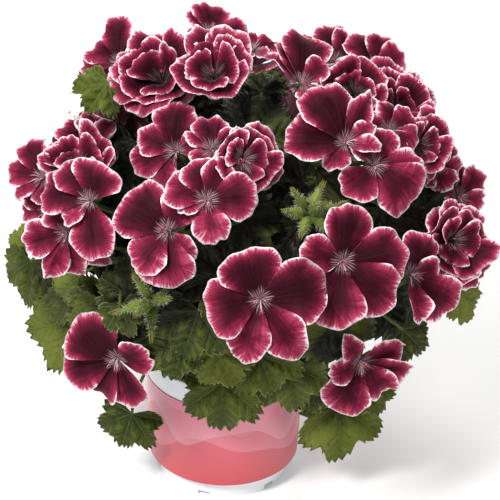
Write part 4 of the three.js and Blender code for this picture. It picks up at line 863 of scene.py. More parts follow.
def add_lens(sheet, face, origin, surface, shares, half_thickness, fields, **values):
    """A surface in a face's own frame, made a thin lens that closes at its edge, with values per place"""
    x, y, z = surface
    thick = half_thickness * np.sqrt(1 - shares[:, None] ** 4) + 0 * x
    frame_of = np.stack([face.right, face.up, face.axis])
    top = origin + np.stack([x, y, z + thick], axis=2) @ frame_of
    low = origin + np.stack([x, y, z - thick], axis=2) @ frame_of
    rows, columns = x.shape
    lower = rows * columns
    faces = grid_faces(rows, columns) + grid_faces(rows - 1, columns, first=lower, flip=True)
    k = np.arange(columns - 1)
    rim_row, last = (rows - 1) * columns, lower + (rows - 2) * columns
    faces.append(np.stack([rim_row + k, rim_row + k + 1, last + k + 1, last + k], axis=1))
    for name, field in fields.items():
        values[name] = np.concatenate([field.ravel(), field[:-1].ravel()])
    back = np.concatenate([np.zeros(lower), np.ones(lower - columns)])
    sheet.add(np.concatenate([top.reshape(-1, 3), low[:-1].reshape(-1, 3)]), faces, back=back, **values)


# Petals

PETAL_COLUMNS = 40
PETAL_ROWS = 12
PETAL_HALF_THICKNESS = 0.28

# How far a petal that comes through one above it is lowered, and how that eases off around the place
TUCK_SPACE = 0.8
TUCK_LIMIT = 9.0
TUCK_EASE = 0.78
TUCK_ROUNDS = 8
FAR_BELOW = -200.0

# The rounds of smaller petals in a half-double bloom
INNER_ROUNDS = [
    {"count": 4, "reach": 0.8, "width": 0.7, "start": 0.55, "steep": 1.25, "bend": 0.5},
    {"count": 3, "reach": 0.54, "width": 0.76, "start": 0.2, "steep": 1.5, "bend": 0.6},
]
INNER_RIM = 1.45
INNER_DARK = 0.75


def petal_width(along):
    """Half the width of a petal at a share of its length: a narrow claw, then a broad round blade"""
    beyond = np.clip((along - PETAL_WIDEST) / (1 - PETAL_WIDEST), 0, 1)
    claw = CLAW_WIDTH + (1 - CLAW_WIDTH) * np.sin(math.pi / 2 * np.minimum(along / PETAL_WIDEST, 1)) ** 1.8
    return np.where(along > PETAL_WIDEST, np.sqrt(1 - beyond**2), claw)


def even_outline(columns):
    """Places round a petal's edge from one side of its claw to the other, at even distances"""
    turn = np.linspace(-math.pi, math.pi, 801)
    along = (1 + np.cos(turn)) / 2
    across = np.sign(turn) * petal_width(along) * PETAL_HALF_WIDTH
    walked = np.concatenate([[0], np.cumsum(np.hypot(np.diff(along), np.diff(across)))])
    at = np.interp(np.linspace(0, walked[-1], columns), walked, turn)
    along = (1 + np.cos(at)) / 2
    return at, along, np.sign(at) * petal_width(along)


OUTLINE_TURN, OUTLINE_ALONG, OUTLINE_ACROSS = even_outline(PETAL_COLUMNS)
PETAL_SHARES = 1 - (1 - np.linspace(0.03, 1, PETAL_ROWS)) ** 1.25


def rim_distance(edge, out, side, length):
    """How far each place is from the coloured rim, and how far along the rim its nearest place is"""
    walked = np.concatenate([[0], np.cumsum(np.hypot(*np.diff(edge, axis=0).T))])
    at = np.linspace(0, walked[-1], 4 * len(edge))
    fine = np.stack([np.interp(at, walked, edge[:, 0]), np.interp(at, walked, edge[:, 1])], axis=1)
    claw = length * np.maximum(0, 0.42 - fine[:, 0] / length)
    gaps = np.hypot(out[..., None] - fine[:, 0], side[..., None] - fine[:, 1]) + claw
    return gaps.min(axis=2), at[gaps.argmin(axis=2)]


def petal_edge(petal, draw, blade):
    """The places round a petal's edge: coarse and fine waves, a notch at the tip and squarer corners"""
    coarse = 0.022 * np.sin((2 + math.floor(2 * draw())) * OUTLINE_TURN + draw() * TURN)
    fine = 0.014 * np.sin((7 + math.floor(4 * draw())) * OUTLINE_TURN + draw() * TURN)
    notch = -(0.06 * draw() ** 2) * np.exp(-(((OUTLINE_TURN - swing(draw, 0.8)) / 0.16) ** 2))
    corners = np.exp(-(((np.abs(OUTLINE_TURN) - 0.85) / 0.35) ** 2))
    corners = corners - 0.6 * np.exp(-((OUTLINE_TURN / 0.45) ** 2))
    square = 0.035 * draw() ** 1.5 * clamp(2.4 * petal.half_width / petal.length - 0.4, 0, 1)
    stretch = 0.98 + blade * (coarse + fine + notch + square * corners)
    edge = np.stack([OUTLINE_ALONG * petal.length, OUTLINE_ACROSS * petal.half_width], axis=1)
    edge = edge * stretch[:, None]
    oval = clamp(0.5 - petal.half_width / petal.length, 0, 0.25)
    edge[:, 1] *= 1 - 1.6 * oval * smooth_step(OUTLINE_ALONG, 0.45, 1.0)
    return edge


def petal_form(petal, draw, height, dark):
    """The places of one petal in its bloom's own frame, over the height that its bloom gives it"""
    blade = smooth_step(OUTLINE_ALONG, 0.15, 0.6)
    edge = petal_edge(petal, draw, blade)
    share = PETAL_SHARES[:, None]
    out, side = share * edge[None, :, 0], share * edge[None, :, 1]
    rim, lace = rim_distance(edge, out, side, petal.length)
    turn = petal.angle * DEG
    x = out * math.cos(turn) - side * math.sin(turn)
    y = out * math.sin(turn) + side * math.cos(turn)
    crinkle_waves = 9 + math.floor(5 * draw())
    crinkle = (0.35 + 0.5 * draw()) * share**5 * np.sin(crinkle_waves * OUTLINE_TURN + draw() * TURN)
    roll = (swing(draw, 1.4) - 2.0) * smooth_step(share, 0.68, 1) ** 2
    along, across = out / petal.length, side / petal.half_width
    tilt = swing(draw, 0.08)
    cup = (0.05 + 0.17 * draw() + petal.fold) * across**2 * smooth_step(along, 0.1, 0.7)
    curl = (0.85 * draw() - 0.4) * np.maximum(0, along - 0.55) ** 2
    billow = 0.06 * share**3 * np.sin((2.2 + 1.6 * draw()) * OUTLINE_TURN + draw() * TURN)
    z = height(x, y, out, side) + (crinkle + roll) * blade[None]
    z = z + petal.length * (tilt * along + cup + curl + billow * blade[None])
    fan = np.arctan2(side, out + 0.12 * petal.length)
    looks = {"rim": rim, "lace": lace, "fan": fan, "tone": draw(), "dark": dark}
    return SimpleNamespace(x=x, y=y, z=z, angle=petal.angle, **looks)


def tuck_under(upper, lower):
    """Lowers a petal where it would come through one that lies over it, and eases it down towards there"""
    points = np.stack([upper.x, upper.y, upper.z], axis=2).reshape(-1, 3).tolist()
    tree = BVHTree.FromPolygons(points, np.concatenate(grid_faces(*upper.x.shape)).tolist())
    sink = np.zeros(lower.x.shape)
    for place in np.ndindex(sink.shape):
        hit = tree.ray_cast((lower.x[place], lower.y[place], FAR_BELOW), (0.0, 0.0, 1.0))[0]
        if hit is not None:
            sink[place] = clamp(lower.z[place] - hit[2] + TUCK_SPACE, 0.0, TUCK_LIMIT)
    for _ in range(TUCK_ROUNDS):
        spread = np.pad(sink, 1, mode="edge")
        near = np.maximum.reduce([spread[:-2, 1:-1], spread[2:, 1:-1], spread[1:-1, :-2], spread[1:-1, 2:]])
        sink = np.maximum(sink, TUCK_EASE * near)
    lower.z -= sink


def outer_petals(flower, draw):
    forms = []
    for petal in flower.petals:
        dark = clamp(0.45 + 0.35 * math.sin(petal.angle * DEG) + swing(draw, 0.3), 0, 1)

        def height(x, y, out, side):
            curl = petal.curl * np.maximum(0, out / petal.length - 0.5) ** 2 * petal.length
            return face_height(flower, x, y) + SHINGLE * side + curl

        forms.append(petal_form(petal, draw, height, dark))
    return sorted(forms, key=lambda form: form.angle)


def inner_petals(flower, draw):
    """The smaller petals that stand up within a half-double bloom"""
    forms = []
    for row in INNER_ROUNDS:
        for k in range(row["count"]):
            length = row["reach"] * flower.reach * (1 + swing(draw, 0.1))
            angle = (k + row["start"] + swing(draw, 0.16)) * 360 / row["count"]
            petal = SimpleNamespace(angle=angle, length=length, half_width=length * row["width"], fold=0.0)
            steep, bend = row["steep"] * (1 + swing(draw, 0.1)), row["bend"]
            wave, phase = 0.07 * length, draw() * TURN

            def height(x, y, _, side):
                reach = np.hypot(x, y) / length
                ripple = wave * reach**3 * np.sin(5 * side / petal.half_width + phase)
                return length * (steep * reach - bend * reach * reach) + 0.25 * side + ripple + 0.6

            form = petal_form(petal, draw, height, INNER_DARK)
            form.rim *= INNER_RIM
            forms.append(form)
    return forms


def bloom_petals(sheet, flower):
    """A bloom's petals. Each outer one lies over the next two, and the inner ones over all of them."""
    draw = stream(flower.seed + LOOK_SEEDS["petals"])
    forms = outer_petals(flower, draw)
    for step in (1, 2):
        for k, lower in enumerate(forms):
            upper = forms[k - step]
            if 0 < (lower.angle - upper.angle) % 360 < 150:
                tuck_under(upper, lower)
    if flower.double:
        inner = inner_petals(flower, draw)
        for k, upper in enumerate(inner):
            for lower in forms + inner[:k]:
                tuck_under(upper, lower)
        forms += inner
    for form in forms:
        surface = (form.x, form.y, form.z)
        fields = {"rim": form.rim, "lace": form.lace, "throat": np.hypot(form.x, form.y), "fan": form.fan}
        add_lens(sheet, flower, flower.throat, surface, PETAL_SHARES, PETAL_HALF_THICKNESS, fields,
                 tone=form.tone, dark=form.dark)


# The green of a head: its hub, pedicels and sepals, with the stamens and the style in each throat

SEPALS = 5
STAMENS = 7
STIGMA_LOBES = 5
BRACTS = 7
STRIP_THICKNESS = 0.35


def leaf_strip(sheet, ridge, widest, start, side, normal, **values):
    """A narrow pointed blade along a ridge, keeled in the middle and open at its foot by a share of it"""
    shares = np.linspace(0, 1, len(ridge))
    half = widest * np.sin(np.clip(shares * (1 - start) + start, 0, 1) * math.pi) ** 0.8 + 0.05
    points = []
    for place, width in zip(ridge, half):
        for c, h in ((-1.0, 0.0), (0.0, 0.5), (1.0, 0.0), (0.0, -0.5)):
            height = h * STRIP_THICKNESS * width + 0.25 * width * c * c
            points.append(place + c * width * side + height * normal)
    sheet.add(points, grid_faces(len(ridge), 4, closed=True), kind=STALK_KIND, **values)


def sepals(sheet, flower, back, draw):
    for k in range(SEPALS):
        out = around((k + 0.5 * draw()) * TURN / SEPALS, flower.right, flower.up)
        length = 9 + swing(draw, 1.5)
        lean = 0.9 + swing(draw, 0.25)
        ridge = [
            back + out * length * s * lean + flower.axis * (length * (0.15 * s - 0.5 * s * s) - 1.6)
            for s in np.linspace(0, 1, 7)
        ]
        side = np.cross(flower.axis, out)
        leaf_strip(sheet, ridge, 1.7, 0.14, side, -flower.axis, tone=draw(), along=0.8)


def stamens(sheet, flower, draw):
    """Seven stamens with an anther each, and last the longer style with its lobes"""
    for k in range(STAMENS + 1):
        turn, spread = draw() * TURN, 0.18 + 0.3 * draw()
        out = around(turn, flower.right, flower.up)
        length = 7 + 3 * draw()
        style = k == STAMENS
        length += 3 if style else 0
        bend = 0.25 * flower.up * length
        root = flower.throat + 0.4 * flower.axis + 0.8 * out
        tip = root + length * (flower.axis + spread * out) - bend
        lower, upper = root + 0.4 * length * flower.axis, tip + 0.5 * bend - 0.2 * length * flower.axis
        filament = Bezier(root, lower, upper, tip)
        tube(sheet, filament.walk(4), [0.32, 0.27, 0.24, 0.22, 0.2], 4, kind=FILAMENT_KIND, tone=draw())
        if not style:
            ends = [tip - 0.9 * out, tip, tip + 0.9 * out]
            tube(sheet, ends, [0.25, 0.5, 0.2], 5, kind=ANTHER_KIND, tone=draw())
            continue
        for n in range(STIGMA_LOBES):
            lobe = around(n * TURN / STIGMA_LOBES, flower.right, flower.up)
            ends = [tip, tip + 0.9 * flower.axis + 0.9 * lobe, tip + 1.9 * lobe]
            tube(sheet, ends, [0.25, 0.22, 0.1], 4, kind=STIGMA_KIND)


def bloom_green(sheet, flower, hub):
    draw = stream(flower.seed + LOOK_SEEDS["calyx"])
    back = flower.throat - 0.8 * flower.axis
    curve = Bezier(hub, hub + 0.35 * (back - hub), back - 11 * flower.axis, back)
    radii = np.interp(np.linspace(0, 1, 10), [0, 0.75, 0.92, 1], [1.0, 0.95, 1.5, 2.4])
    tube(sheet, curve.walk(9), radii * PEDICEL_RADIUS, 7, kind=STALK_KIND, tone=draw(), along=0.5)
    sepals(sheet, flower, back, draw)
    stamens(sheet, flower, draw)


def bud_bracts(sheet, hub, axis, draw):
    """The small leaves round the place where a head's stalks part"""
    right, up, axis = facing_frame(axis)
    for k in range(BRACTS):
        out = around((k + draw()) * TURN / BRACTS, right, up)
        length = 7 + 3 * draw()
        ridge = [
            hub - 1.5 * axis + out * (1 + length * s) + axis * length * (0.3 * s - 0.5 * s * s)
            for s in np.linspace(0, 1, 6)
        ]
        leaf_strip(sheet, ridge, 1.9, 0.15, np.cross(axis, out), axis, tone=draw(), along=0.9)


# Leaves

LEAF_TEETH = 27
LEAF_TAPER = 0.42
LEAF_ROWS = 11
LEAF_VEINS = np.array([-0.8, -0.4, 0.0, 0.4, 0.8])
LEAF_HALF_THICKNESS = 0.3


def leaf_reach(angle):
    """The outline's reach: five lobes with a narrow bay between each two"""
    share = angle / LEAF_HALF_ANGLE
    off_lobe = 2 * np.abs((2.5 * share + 0.5) % 1 - 0.5)
    return (1 - LEAF_TAPER * share * share) * (1.1 - 0.26 * off_lobe**2.4)


def leaf_teeth(draw):
    """Places round a leaf's edge and how far each stands out: uneven teeth that lean to the lobes' tips"""
    marks = np.cumsum([0.0, *(0.55 + 0.9 * draws(draw, LEAF_TEETH))])
    marks = 2 * marks / marks[-1] - 1
    shares, teeth = [], []
    for first, last in zip(marks, marks[1:]):
        middle = (first + last) / 2
        vein = LEAF_VEINS[np.abs(LEAF_VEINS - middle).argmin()]
        tip = middle + (last - first) * clamp(3 * (vein - middle), -0.3, 0.3)
        depth = (last - first) * (0.42 + 0.4 * draw())
        shares += [first, (first + tip) / 2, tip]
        teeth += [-depth, 0.2 * depth, depth]
    return np.array(shares + [1.0]), np.array(teeth + [teeth[0]])


def leaf_blade(sheet, leaf, tone):
    """A toothed blade with a fold along each vein"""
    draw = stream(leaf.seed + LOOK_SEEDS["leaf_blade"])
    share, teeth = leaf_teeth(draw)
    angle = share * LEAF_HALF_ANGLE
    uneven = 1 + 0.05 * np.sin(2.3 * angle + draw() * TURN) + 0.04 * np.sin(4.1 * angle + draw() * TURN)
    edge = leaf_reach(angle) * uneven * (1 + teeth)
    rows = np.linspace(0.012, 1, LEAF_ROWS) ** 0.85
    inner = leaf_reach(angle) * 0.7 + 0.3 * (1 - LEAF_TAPER * share * share)
    blend_in = (rows**3)[:, None]
    reach = rows[:, None] * (blend_in * edge + (1 - blend_in) * inner)
    angles = angle + 0 * rows[:, None]
    radial = reach * leaf.radius
    off = np.abs(share[:, None] - LEAF_VEINS).min(axis=1) * LEAF_HALF_ANGLE
    vein = np.abs(np.sin(np.minimum(off, 1.5))) * radial
    fine_phase = draw() * TURN
    edge_wave = 0.075 * leaf.radius * reach**3 * np.sin((5 + 3 * draw()) * angles + fine_phase)
    buckle = 0.018 * leaf.radius * np.sin(radial * 0.9 + 3 * angles)
    buckle = buckle * np.sin(11 * angles + fine_phase) * reach
    pleat = -LEAF_PLEAT * leaf.radius * np.cos(LEAF_LOBES * math.pi * angles / LEAF_HALF_ANGLE) * reach
    groove = -0.6 * np.exp(-((vein / 1.4) ** 2)) * smooth_step(1 - reach, 0, 0.4)
    z = leaf_height(leaf, angles, reach) + edge_wave + buckle + groove + pleat
    surface = (radial * np.cos(angles), radial * np.sin(angles), z)
    from_edge = np.maximum((edge * leaf.radius)[None] - radial, 0)
    fields = {"vein": vein, "radial": radial, "edge": from_edge}
    add_lens(sheet, leaf, leaf.root, surface, rows, LEAF_HALF_THICKNESS, fields, tone=tone)


# Hairs, and closed buds: ribbed sepals round a bulb, with free pointed tips

HAIR_HALF_WIDTH = 0.09
BUD_HAIR_HALF_WIDTH = 0.13
BUD_HAIR = 2.6

# Sides of a stalk, length of its hairs, and how far each is along the stalk from the next
HAIRY = {"stem": (12, 1.5, 0.6), "stalk": (8, 1.5, 0.7), "petiole": (7, 1.3, 0.8), "bud": (7, 1.8, 0.5)}

BUD_ROWS = 13
BUD_SIDES = 20
BUD_TIPS = 5
BUD_HAIRS = 150
BUD_PROFILE = ([0, 0.08, 0.22, 0.38, 0.6, 0.82, 1], [0.3, 0.68, 0.94, 0.92, 0.64, 0.28, 0.04])


def hairs(sheet, roots, ways, length, half_width, draw):
    """Fine hairs, each two narrow faces that meet in its tip"""
    lengths = length * (0.6 + 0.8 * draws(draw, len(roots)))
    tips = roots + ways * lengths[:, None]
    aside = unit_rows(np.cross(ways, [0.3, 0.5, 0.8]))
    offsets = half_width * aside, -half_width * aside, half_width * np.cross(ways, aside)
    foot = [roots + offset for offset in offsets]
    first = 4 * np.arange(len(roots))
    faces = [np.stack([first + a, first + b, first + 3], axis=1) for a, b in ((0, 1), (1, 2))]
    sheet.add(np.stack([*foot, tips], axis=1).reshape(-1, 3), faces, kind=HAIR_KIND)


def hairy_tube(sheet, places, radii, sides, hair, every, draw, **values):
    """A stalk with fine hairs of a length standing out from it, one every few tenths of a millimetre"""
    tube(sheet, places, radii, sides, kind=STALK_KIND, **values)
    steps = np.linalg.norm(np.diff(places, axis=0), axis=1)
    walked = np.concatenate([[0], np.cumsum(steps)])
    total = float(steps.sum())
    count = int(total / every)
    if not count:
        return

    def spots_at(along):
        return np.stack([np.interp(along, walked, places[:, i]) for i in range(3)], axis=1)

    at = draws(draw, count) * total
    spots = spots_at(at)
    ahead = unit_rows(spots_at(at + 0.5) - spots)
    one = unit_rows(np.cross(ahead, [0.2, 0.4, 0.9]))
    ways = rows_around(draws(draw, count) * TURN, one, np.cross(ahead, one))
    radius = np.interp(at, walked, np.broadcast_to(np.asarray(radii, float), len(places)))
    hairs(sheet, spots + ways * (radius * 0.9)[:, None], ways, hair, HAIR_HALF_WIDTH, draw)


def bud_body(sheet, hub, bud, draw):
    """A downy bud on its stalk"""
    stalk = Bezier(hub, hub + 0.5 * (bud.root - hub), bud.root - 0.5 * bud.way, bud.root + bud.way)
    hairy_tube(sheet, stalk.walk(4), 1.0, *HAIRY["bud"], draw, tone=draw(), along=0.5)
    right, up, _ = facing_frame(bud.way)
    shares = np.linspace(0, 1, BUD_ROWS)
    profile = np.interp(shares, *BUD_PROFILE)
    turns = np.arange(BUD_SIDES) * TURN / BUD_SIDES
    ribs = 1 + 0.1 * np.cos(BUD_TIPS * turns)[None] * np.sin(shares * math.pi)[:, None]
    radius = BUD_RADIUS * profile[:, None] * ribs * (1 + swing(draw, 0.08))
    ring = rows_around(turns, right, up)
    places = bud.root + (shares * bud.length * 0.94)[:, None, None] * bud.way + radius[..., None] * ring
    faces = grid_faces(BUD_ROWS, BUD_SIDES, closed=True)
    sheet.add(places.reshape(-1, 3), faces, kind=BUD_KIND, tone=draw(), along=np.repeat(shares, BUD_SIDES))
    for k in range(BUD_TIPS):
        out = around(k * TURN / BUD_TIPS, right, up)
        start = bud.root + 0.8 * bud.length * bud.way + 0.35 * BUD_RADIUS * out
        tip = bud.root + (1.08 + 0.14 * draw()) * bud.length * bud.way + (0.3 + 1.2 * draw()) * out
        ends = [start, (start + tip) / 2 + 0.2 * out, tip]
        tube(sheet, ends, [0.55, 0.4, 0.08], 5, kind=BUD_KIND, tone=0.7, along=1.0)
    at = draws(draw, BUD_HAIRS)
    out = rows_around(draws(draw, BUD_HAIRS) * TURN, right, up)
    wide = BUD_RADIUS * np.interp(at, shares, profile)
    roots = bud.root + (at * bud.length * 0.94)[:, None] * bud.way + out * (wide * 0.95)[:, None]
    hairs(sheet, roots, unit_rows(out + 0.5 * bud.way), BUD_HAIR, BUD_HAIR_HALF_WIDTH, draw)


# Materials

# The near-black that painted shade darkens the plant's colours towards
PAINTED_SHADE_TINT = "#0a0904"
KIND_SPAN = 0.4


def colour(hex_code):
    """A colour written as on a screen, as linear light"""
    parts = [int(hex_code[i : i + 2], 16) / 255 for i in (1, 3, 5)]
    return [*(c / 12.92 if c <= 0.04045 else ((c + 0.055) / 1.055) ** 2.4 for c in parts), 1.0]


class Value:
    """What a socket gives. Reckoning with it adds math nodes to its look."""

    def __init__(self, look, socket):
        self.look, self.socket = look, socket

    def __add__(self, other):
        return self.look.math("ADD", self, other)

    def __radd__(self, other):
        return self.look.math("ADD", other, self)

    def __sub__(self, other):
        return self.look.math("SUBTRACT", self, other)

    def __mul__(self, other):
        return self.look.math("MULTIPLY", self, other)

    def __truediv__(self, other):
        return self.look.math("DIVIDE", self, other)


class Look:
    """A material's nodes, made one after another"""

    def __init__(self, name, roughness=0.5, **sockets):
        self.material = bpy.data.materials.new(name)
        self.material.use_nodes = True
        self.tree = self.material.node_tree
        self.shader = self.tree.nodes["Principled BSDF"]
        self.shader.inputs["Roughness"].default_value = roughness
        for key, value in sockets.items():
            self.shader.inputs[key.replace("_", " ")].default_value = value

    def feed(self, socket, value):
        if isinstance(value, Value):
            self.tree.links.new(value.socket, socket)
        else:
            socket.default_value = colour(value) if isinstance(value, str) else value

    def node(self, kind, inputs, output=0, **settings):
        """A node with its settings, its inputs by number or name, and the value that it gives"""
        made = self.tree.nodes.new(kind)
        for key, value in settings.items():
            setattr(made, key, value)
        for key, value in inputs.items():
            self.feed(made.inputs[key], value)
        return Value(self, made.outputs[output])

    def value(self, name):
        return self.node("ShaderNodeAttribute", {}, "Fac", attribute_name=name)

    def place(self):
        return self.node("ShaderNodeTexCoord", {}, "Object")

    def math(self, kind, a, b=0.0, c=0.0):
        return self.node("ShaderNodeMath", {0: a, 1: b, 2: c}, operation=kind)

    def sine(self, value):
        return self.math("SINE", value)

    def step(self, value, low, high, to_low=0.0, to_high=1.0):
        inputs = dict(enumerate((value, low, high, to_low, to_high)))
        return self.node("ShaderNodeMapRange", inputs, interpolation_type="SMOOTHSTEP")

    def join(self, x, y=0.0, z=0.0):
        return self.node("ShaderNodeCombineXYZ", {0: x, 1: y, 2: z})

    def noise(self, vector, scale, detail=2.0, roughness=0.5, distortion=0.0):
        inputs = {"Vector": vector, "Scale": scale, "Detail": detail}
        return self.node("ShaderNodeTexNoise", {**inputs, "Roughness": roughness, "Distortion": distortion})

    def mix(self, share, a, b):
        return self.node("ShaderNodeMix", {0: share, 6: a, 7: b}, output=2, data_type="RGBA")

    def ramp(self, value, *stops):
        made = self.node("ShaderNodeValToRGB", {0: value})
        elements = made.socket.node.color_ramp.elements
        while len(elements) < len(stops):
            elements.new(0.5)
        for element, (at, code) in zip(elements, stops):
            element.position = at
            element.color = colour(code)
        return made

    def bump(self, height, distance, strength):
        return self.node("ShaderNodeBump", {"Strength": strength, "Distance": distance, "Height": height})

    def paint_shade_inside(self, base, low, high, most):
        """Painted shade: darkens the colour towards near-black where the growth round a point keeps the light
        off it
        """
        return self.mix(self.step(self.value("inside"), low, high, 0.0, most), base, PAINTED_SHADE_TINT)

    def finish(self, base, normal=None, roughness=None):
        for name, value in (("Base Color", base), ("Normal", normal), ("Roughness", roughness)):
            if value is not None:
                self.feed(self.shader.inputs[name], value)
        return self.material


def petal_look():
    """Dark red with a feathered pale rim, a pale veined throat and a rosy reverse"""
    look = Look("petal", roughness=0.6, Specular_IOR_Level=0.06)
    rim, throat, fan, lace = (look.value(name) for name in ("rim", "throat", "fan", "lace"))
    back, tone, dark = (look.value(name) for name in ("back", "tone", "dark"))
    seed = tone * 37.0

    def streaks(across, count, along, detail):
        return look.noise(look.join(across * count, throat * along, seed), 1.0, detail)

    streak, fine = streaks(fan, 14.0, 0.07, 2.0), streaks(fan, 34.0, 0.12, 2.0)
    cloud = streaks(fan, 3.0, 0.12, 2.0)
    fringe, hem = streaks(lace, 0.8, 0.1, 3.0), streaks(lace, 0.16, 0.0, 1.0)
    feather = (fringe - 0.5) * 7.5 + (hem - 0.5) * 4.0
    blotch = (cloud - 0.5) * 5.0 + (streak - 0.5) * 4.0 + (dark - 0.5) * 5.0
    depth = look.math("MINIMUM", rim + feather, rim * 1.8) + blotch * look.step(rim, 2.0, 7.0)
    blade = look.ramp(
        depth / 16.0,
        (0.0, "#e9c8d0"), (0.05, "#cf8a9c"), (0.11, "#a5465f"), (0.2, "#8a2843"),
        (0.33, "#6c1a32"), (0.52, "#4a1023"), (0.85, "#2b0712"),
    )
    lines = look.sine(fan * 44.0 + streak * 7.0)
    vein = look.step(lines, 0.5, 1.0) * look.step(rim, 2.5, 7.0, 0.0, 0.4)
    blade = look.mix(vein, blade, "#44091b")
    blade = look.mix(look.step(rim + (fringe - 0.5) * 1.2, 0.35, 1.1, 1.0, 0.0), blade, "#fdeef0")
    star = look.step(throat - (1.0 + streak * 12.0), -4.0, 1.5, 1.0, 0.0)
    face = look.mix(star, blade, look.mix(look.step(lines, -0.6, 0.6), "#a48c92", "#542633"))
    under = look.ramp(
        (rim + feather) / 16.0, (0.0, "#f2dfe5"), (0.12, "#d9a6b8"), (0.45, "#b97590"), (1.0, "#96486a")
    )
    under = look.mix(look.step(lines, 0.2, 1.0) * 0.35, under, "#7a2c4c")
    # Painted shade: petals deep within the crown are darkened
    base = look.paint_shade_inside(look.mix(back, face, under), 0.15, 0.7, 0.82)
    return look.finish(base, look.bump(lines * 0.15 + (streak + fine * 0.6), 0.0007, 0.6))


def leaf_look():
    """Green, quilted between its veins, paler along them and at the edge, and duller below"""
    look = Look("leaf_blade", roughness=0.5, Specular_IOR_Level=0.14)
    vein, radial, edge = (look.value(name) for name in ("vein", "radial", "edge"))
    back, tone, place = look.value("back"), look.value("tone"), look.place()
    patch = look.noise(place, 26.0, 3.0)
    grain = look.noise(place, 420.0, 3.0, 0.6)
    mesh = look.noise(place, 150.0, 2.0, 0.5, 1.2)
    main = look.step(vein, 0.15, 0.9, 1.0, 0.0)
    pitch = (radial - vein * 1.15 + mesh * 5.0) * (TURN / 6.5)
    branch = look.step(look.sine(pitch), 0.9, 1.0) * look.step(edge, 0.0, 4.0, 0.2, 0.55)
    net = look.step(look.math("ABSOLUTE", mesh - 0.5), 0.0, 0.04, 0.3, 0.0)
    veins = look.math("MAXIMUM", look.math("MAXIMUM", main, branch), net)
    shade = tone * 0.55 + patch * 0.45
    blade = look.ramp(shade, (0.15, "#1c2008"), (0.4, "#303810"), (0.66, "#4e571a"), (0.92, "#767d33"))
    between = look.step(vein, 0.5, 6.0) * look.step(look.sine(pitch), 0.4, -0.8)
    blade = look.mix(between * 0.4, blade, "#626a24")
    blade = look.mix(veins * 0.34, blade, "#6b7740")
    blade = look.mix(look.step(edge, 0.1, 1.3, 0.6, 0.0), blade, "#98a365")
    under = look.mix(veins * 0.6, "#5f6f3c", "#96a070")
    # Painted shade: leaves deep within the crown are darkened
    base = look.paint_shade_inside(look.mix(back, blade, under), 0.15, 0.43, 0.96)
    puff = (1.0 + look.sine(pitch + math.pi)) * 0.5
    relief = mesh * 0.8 + grain * 0.25 + puff * 0.9 - main * 1.0
    return look.finish(base, look.bump(relief, 0.0012, 0.7), 0.38 + grain * 0.25)


def green_look():
    """Stalks, buds, hairs and what stands in a throat, told apart by their kind"""
    look = Look("green_parts", roughness=0.55, Specular_IOR_Level=0.2)
    kind, tone, along, place = look.value("kind"), look.value("tone"), look.value("along"), look.place()
    patch, grain = look.noise(place, 45.0, 3.0), look.noise(place, 520.0, 2.0)
    shade = tone * 0.35 + patch * 0.65
    base = look.ramp(shade, (0.2, "#3b4a1c"), (0.5, "#5a6b2a"), (0.8, "#84904a"))
    bud = look.ramp(shade, (0.2, "#364214"), (0.5, "#586724"), (0.8, "#7f8b3c"))
    bud = look.mix(look.step(along, 0.85, 1.0, 0.0, 0.5), bud, "#7a6a3a")
    for code, tint in (
        (FILAMENT_KIND, "#d8b3bd"), (STIGMA_KIND, "#b23a55"), (ANTHER_KIND, "#7c3a3a"),
        (HAIR_KIND, "#cdd0b0"), (BUD_KIND, bud),
    ):
        base = look.mix(look.math("COMPARE", kind, code, KIND_SPAN), base, tint)
    # Painted shade: stalks, buds and throats deep within the crown are darkened
    return look.finish(look.paint_shade_inside(base, 0.25, 0.6, 0.85), look.bump(grain + patch, 0.0004, 0.4))


def pot_look():
    look = Look("pot_plastic", roughness=0.34, IOR=1.48, Coat_Weight=0.1, Coat_Roughness=0.2)
    place = look.place()
    cloud, grain = look.noise(place, 14.0, 2.0), look.noise(place, 900.0, 2.0)
    base = look.ramp(cloud, (0.3, "#dcdee4"), (0.7, "#e6e8ec"))
    scuff = look.step(look.noise(place, 60.0, 4.0, 0.7), 0.62, 0.8)
    return look.finish(base, look.bump(grain, 0.0001, 0.25), 0.3 + (cloud + scuff) * 0.12)


# The waves printed on the band, as how many go round it, phase, height, strength and colour
BAND_WAVES = [
    (3.0, 0.4, 0.42, 0.4, "#e594a2"),
    (5.0, 2.1, 0.6, 0.42, "#eba9b6"),
    (4.0, 4.0, 0.8, 0.36, "#e08d9e"),
]


def band_look():
    """Printed film in coral and rose: soft waves that overlap, paler towards the top"""
    look = Look("band_print", roughness=0.4, Coat_Weight=0.25, Coat_Roughness=0.25)
    turn, rise = look.value("turn"), look.value("rise")
    base = look.ramp(rise, (0.0, "#c2474f"), (0.45, "#cb5a66"), (1.0, "#d06c82"))
    for waves, phase, height, share, tint in BAND_WAVES:
        angle = turn * waves + phase
        line = height + look.sine(angle) * 0.13
        line = line + look.sine(angle * (1.0 / waves * (waves + 3.0))) * 0.05
        above = rise - line
        wash = look.step(above, 0.0, 0.012) * look.step(above, 0.02, 0.42, share, share * 0.25)
        base = look.mix(wash, base, tint)
    grain = look.noise(look.place(), 700.0, 2.0)
    crease = look.noise(look.join(turn, rise, 0.0), 3.0, 3.0)
    return look.finish(base, look.bump(crease * 4.0 + grain, 0.0002, 0.25), 0.32 + crease * 0.16)


def soil_look():
    look = Look("peat", roughness=0.95)
    place = look.place()
    crumb, clump = look.noise(place, 240.0, 5.0, 0.7), look.noise(place, 55.0, 3.0)
    base = look.ramp(crumb, (0.25, "#120d0a"), (0.5, "#2a1f18"), (0.7, "#46352a"), (0.85, "#6d5745"))
    base = look.mix(look.value("fibre"), base, "#7b6350")
    return look.finish(base, look.bump(clump * 1.5 + crumb, 0.002, 0.9))


def floor_look():
    look = Look("floor", roughness=0.8)
    return look.finish(look.ramp(look.noise(look.place(), 3.0, 2.0), (0.3, "#f4f4f3"), (0.7, "#f8f8f7")))


# Plant pieces

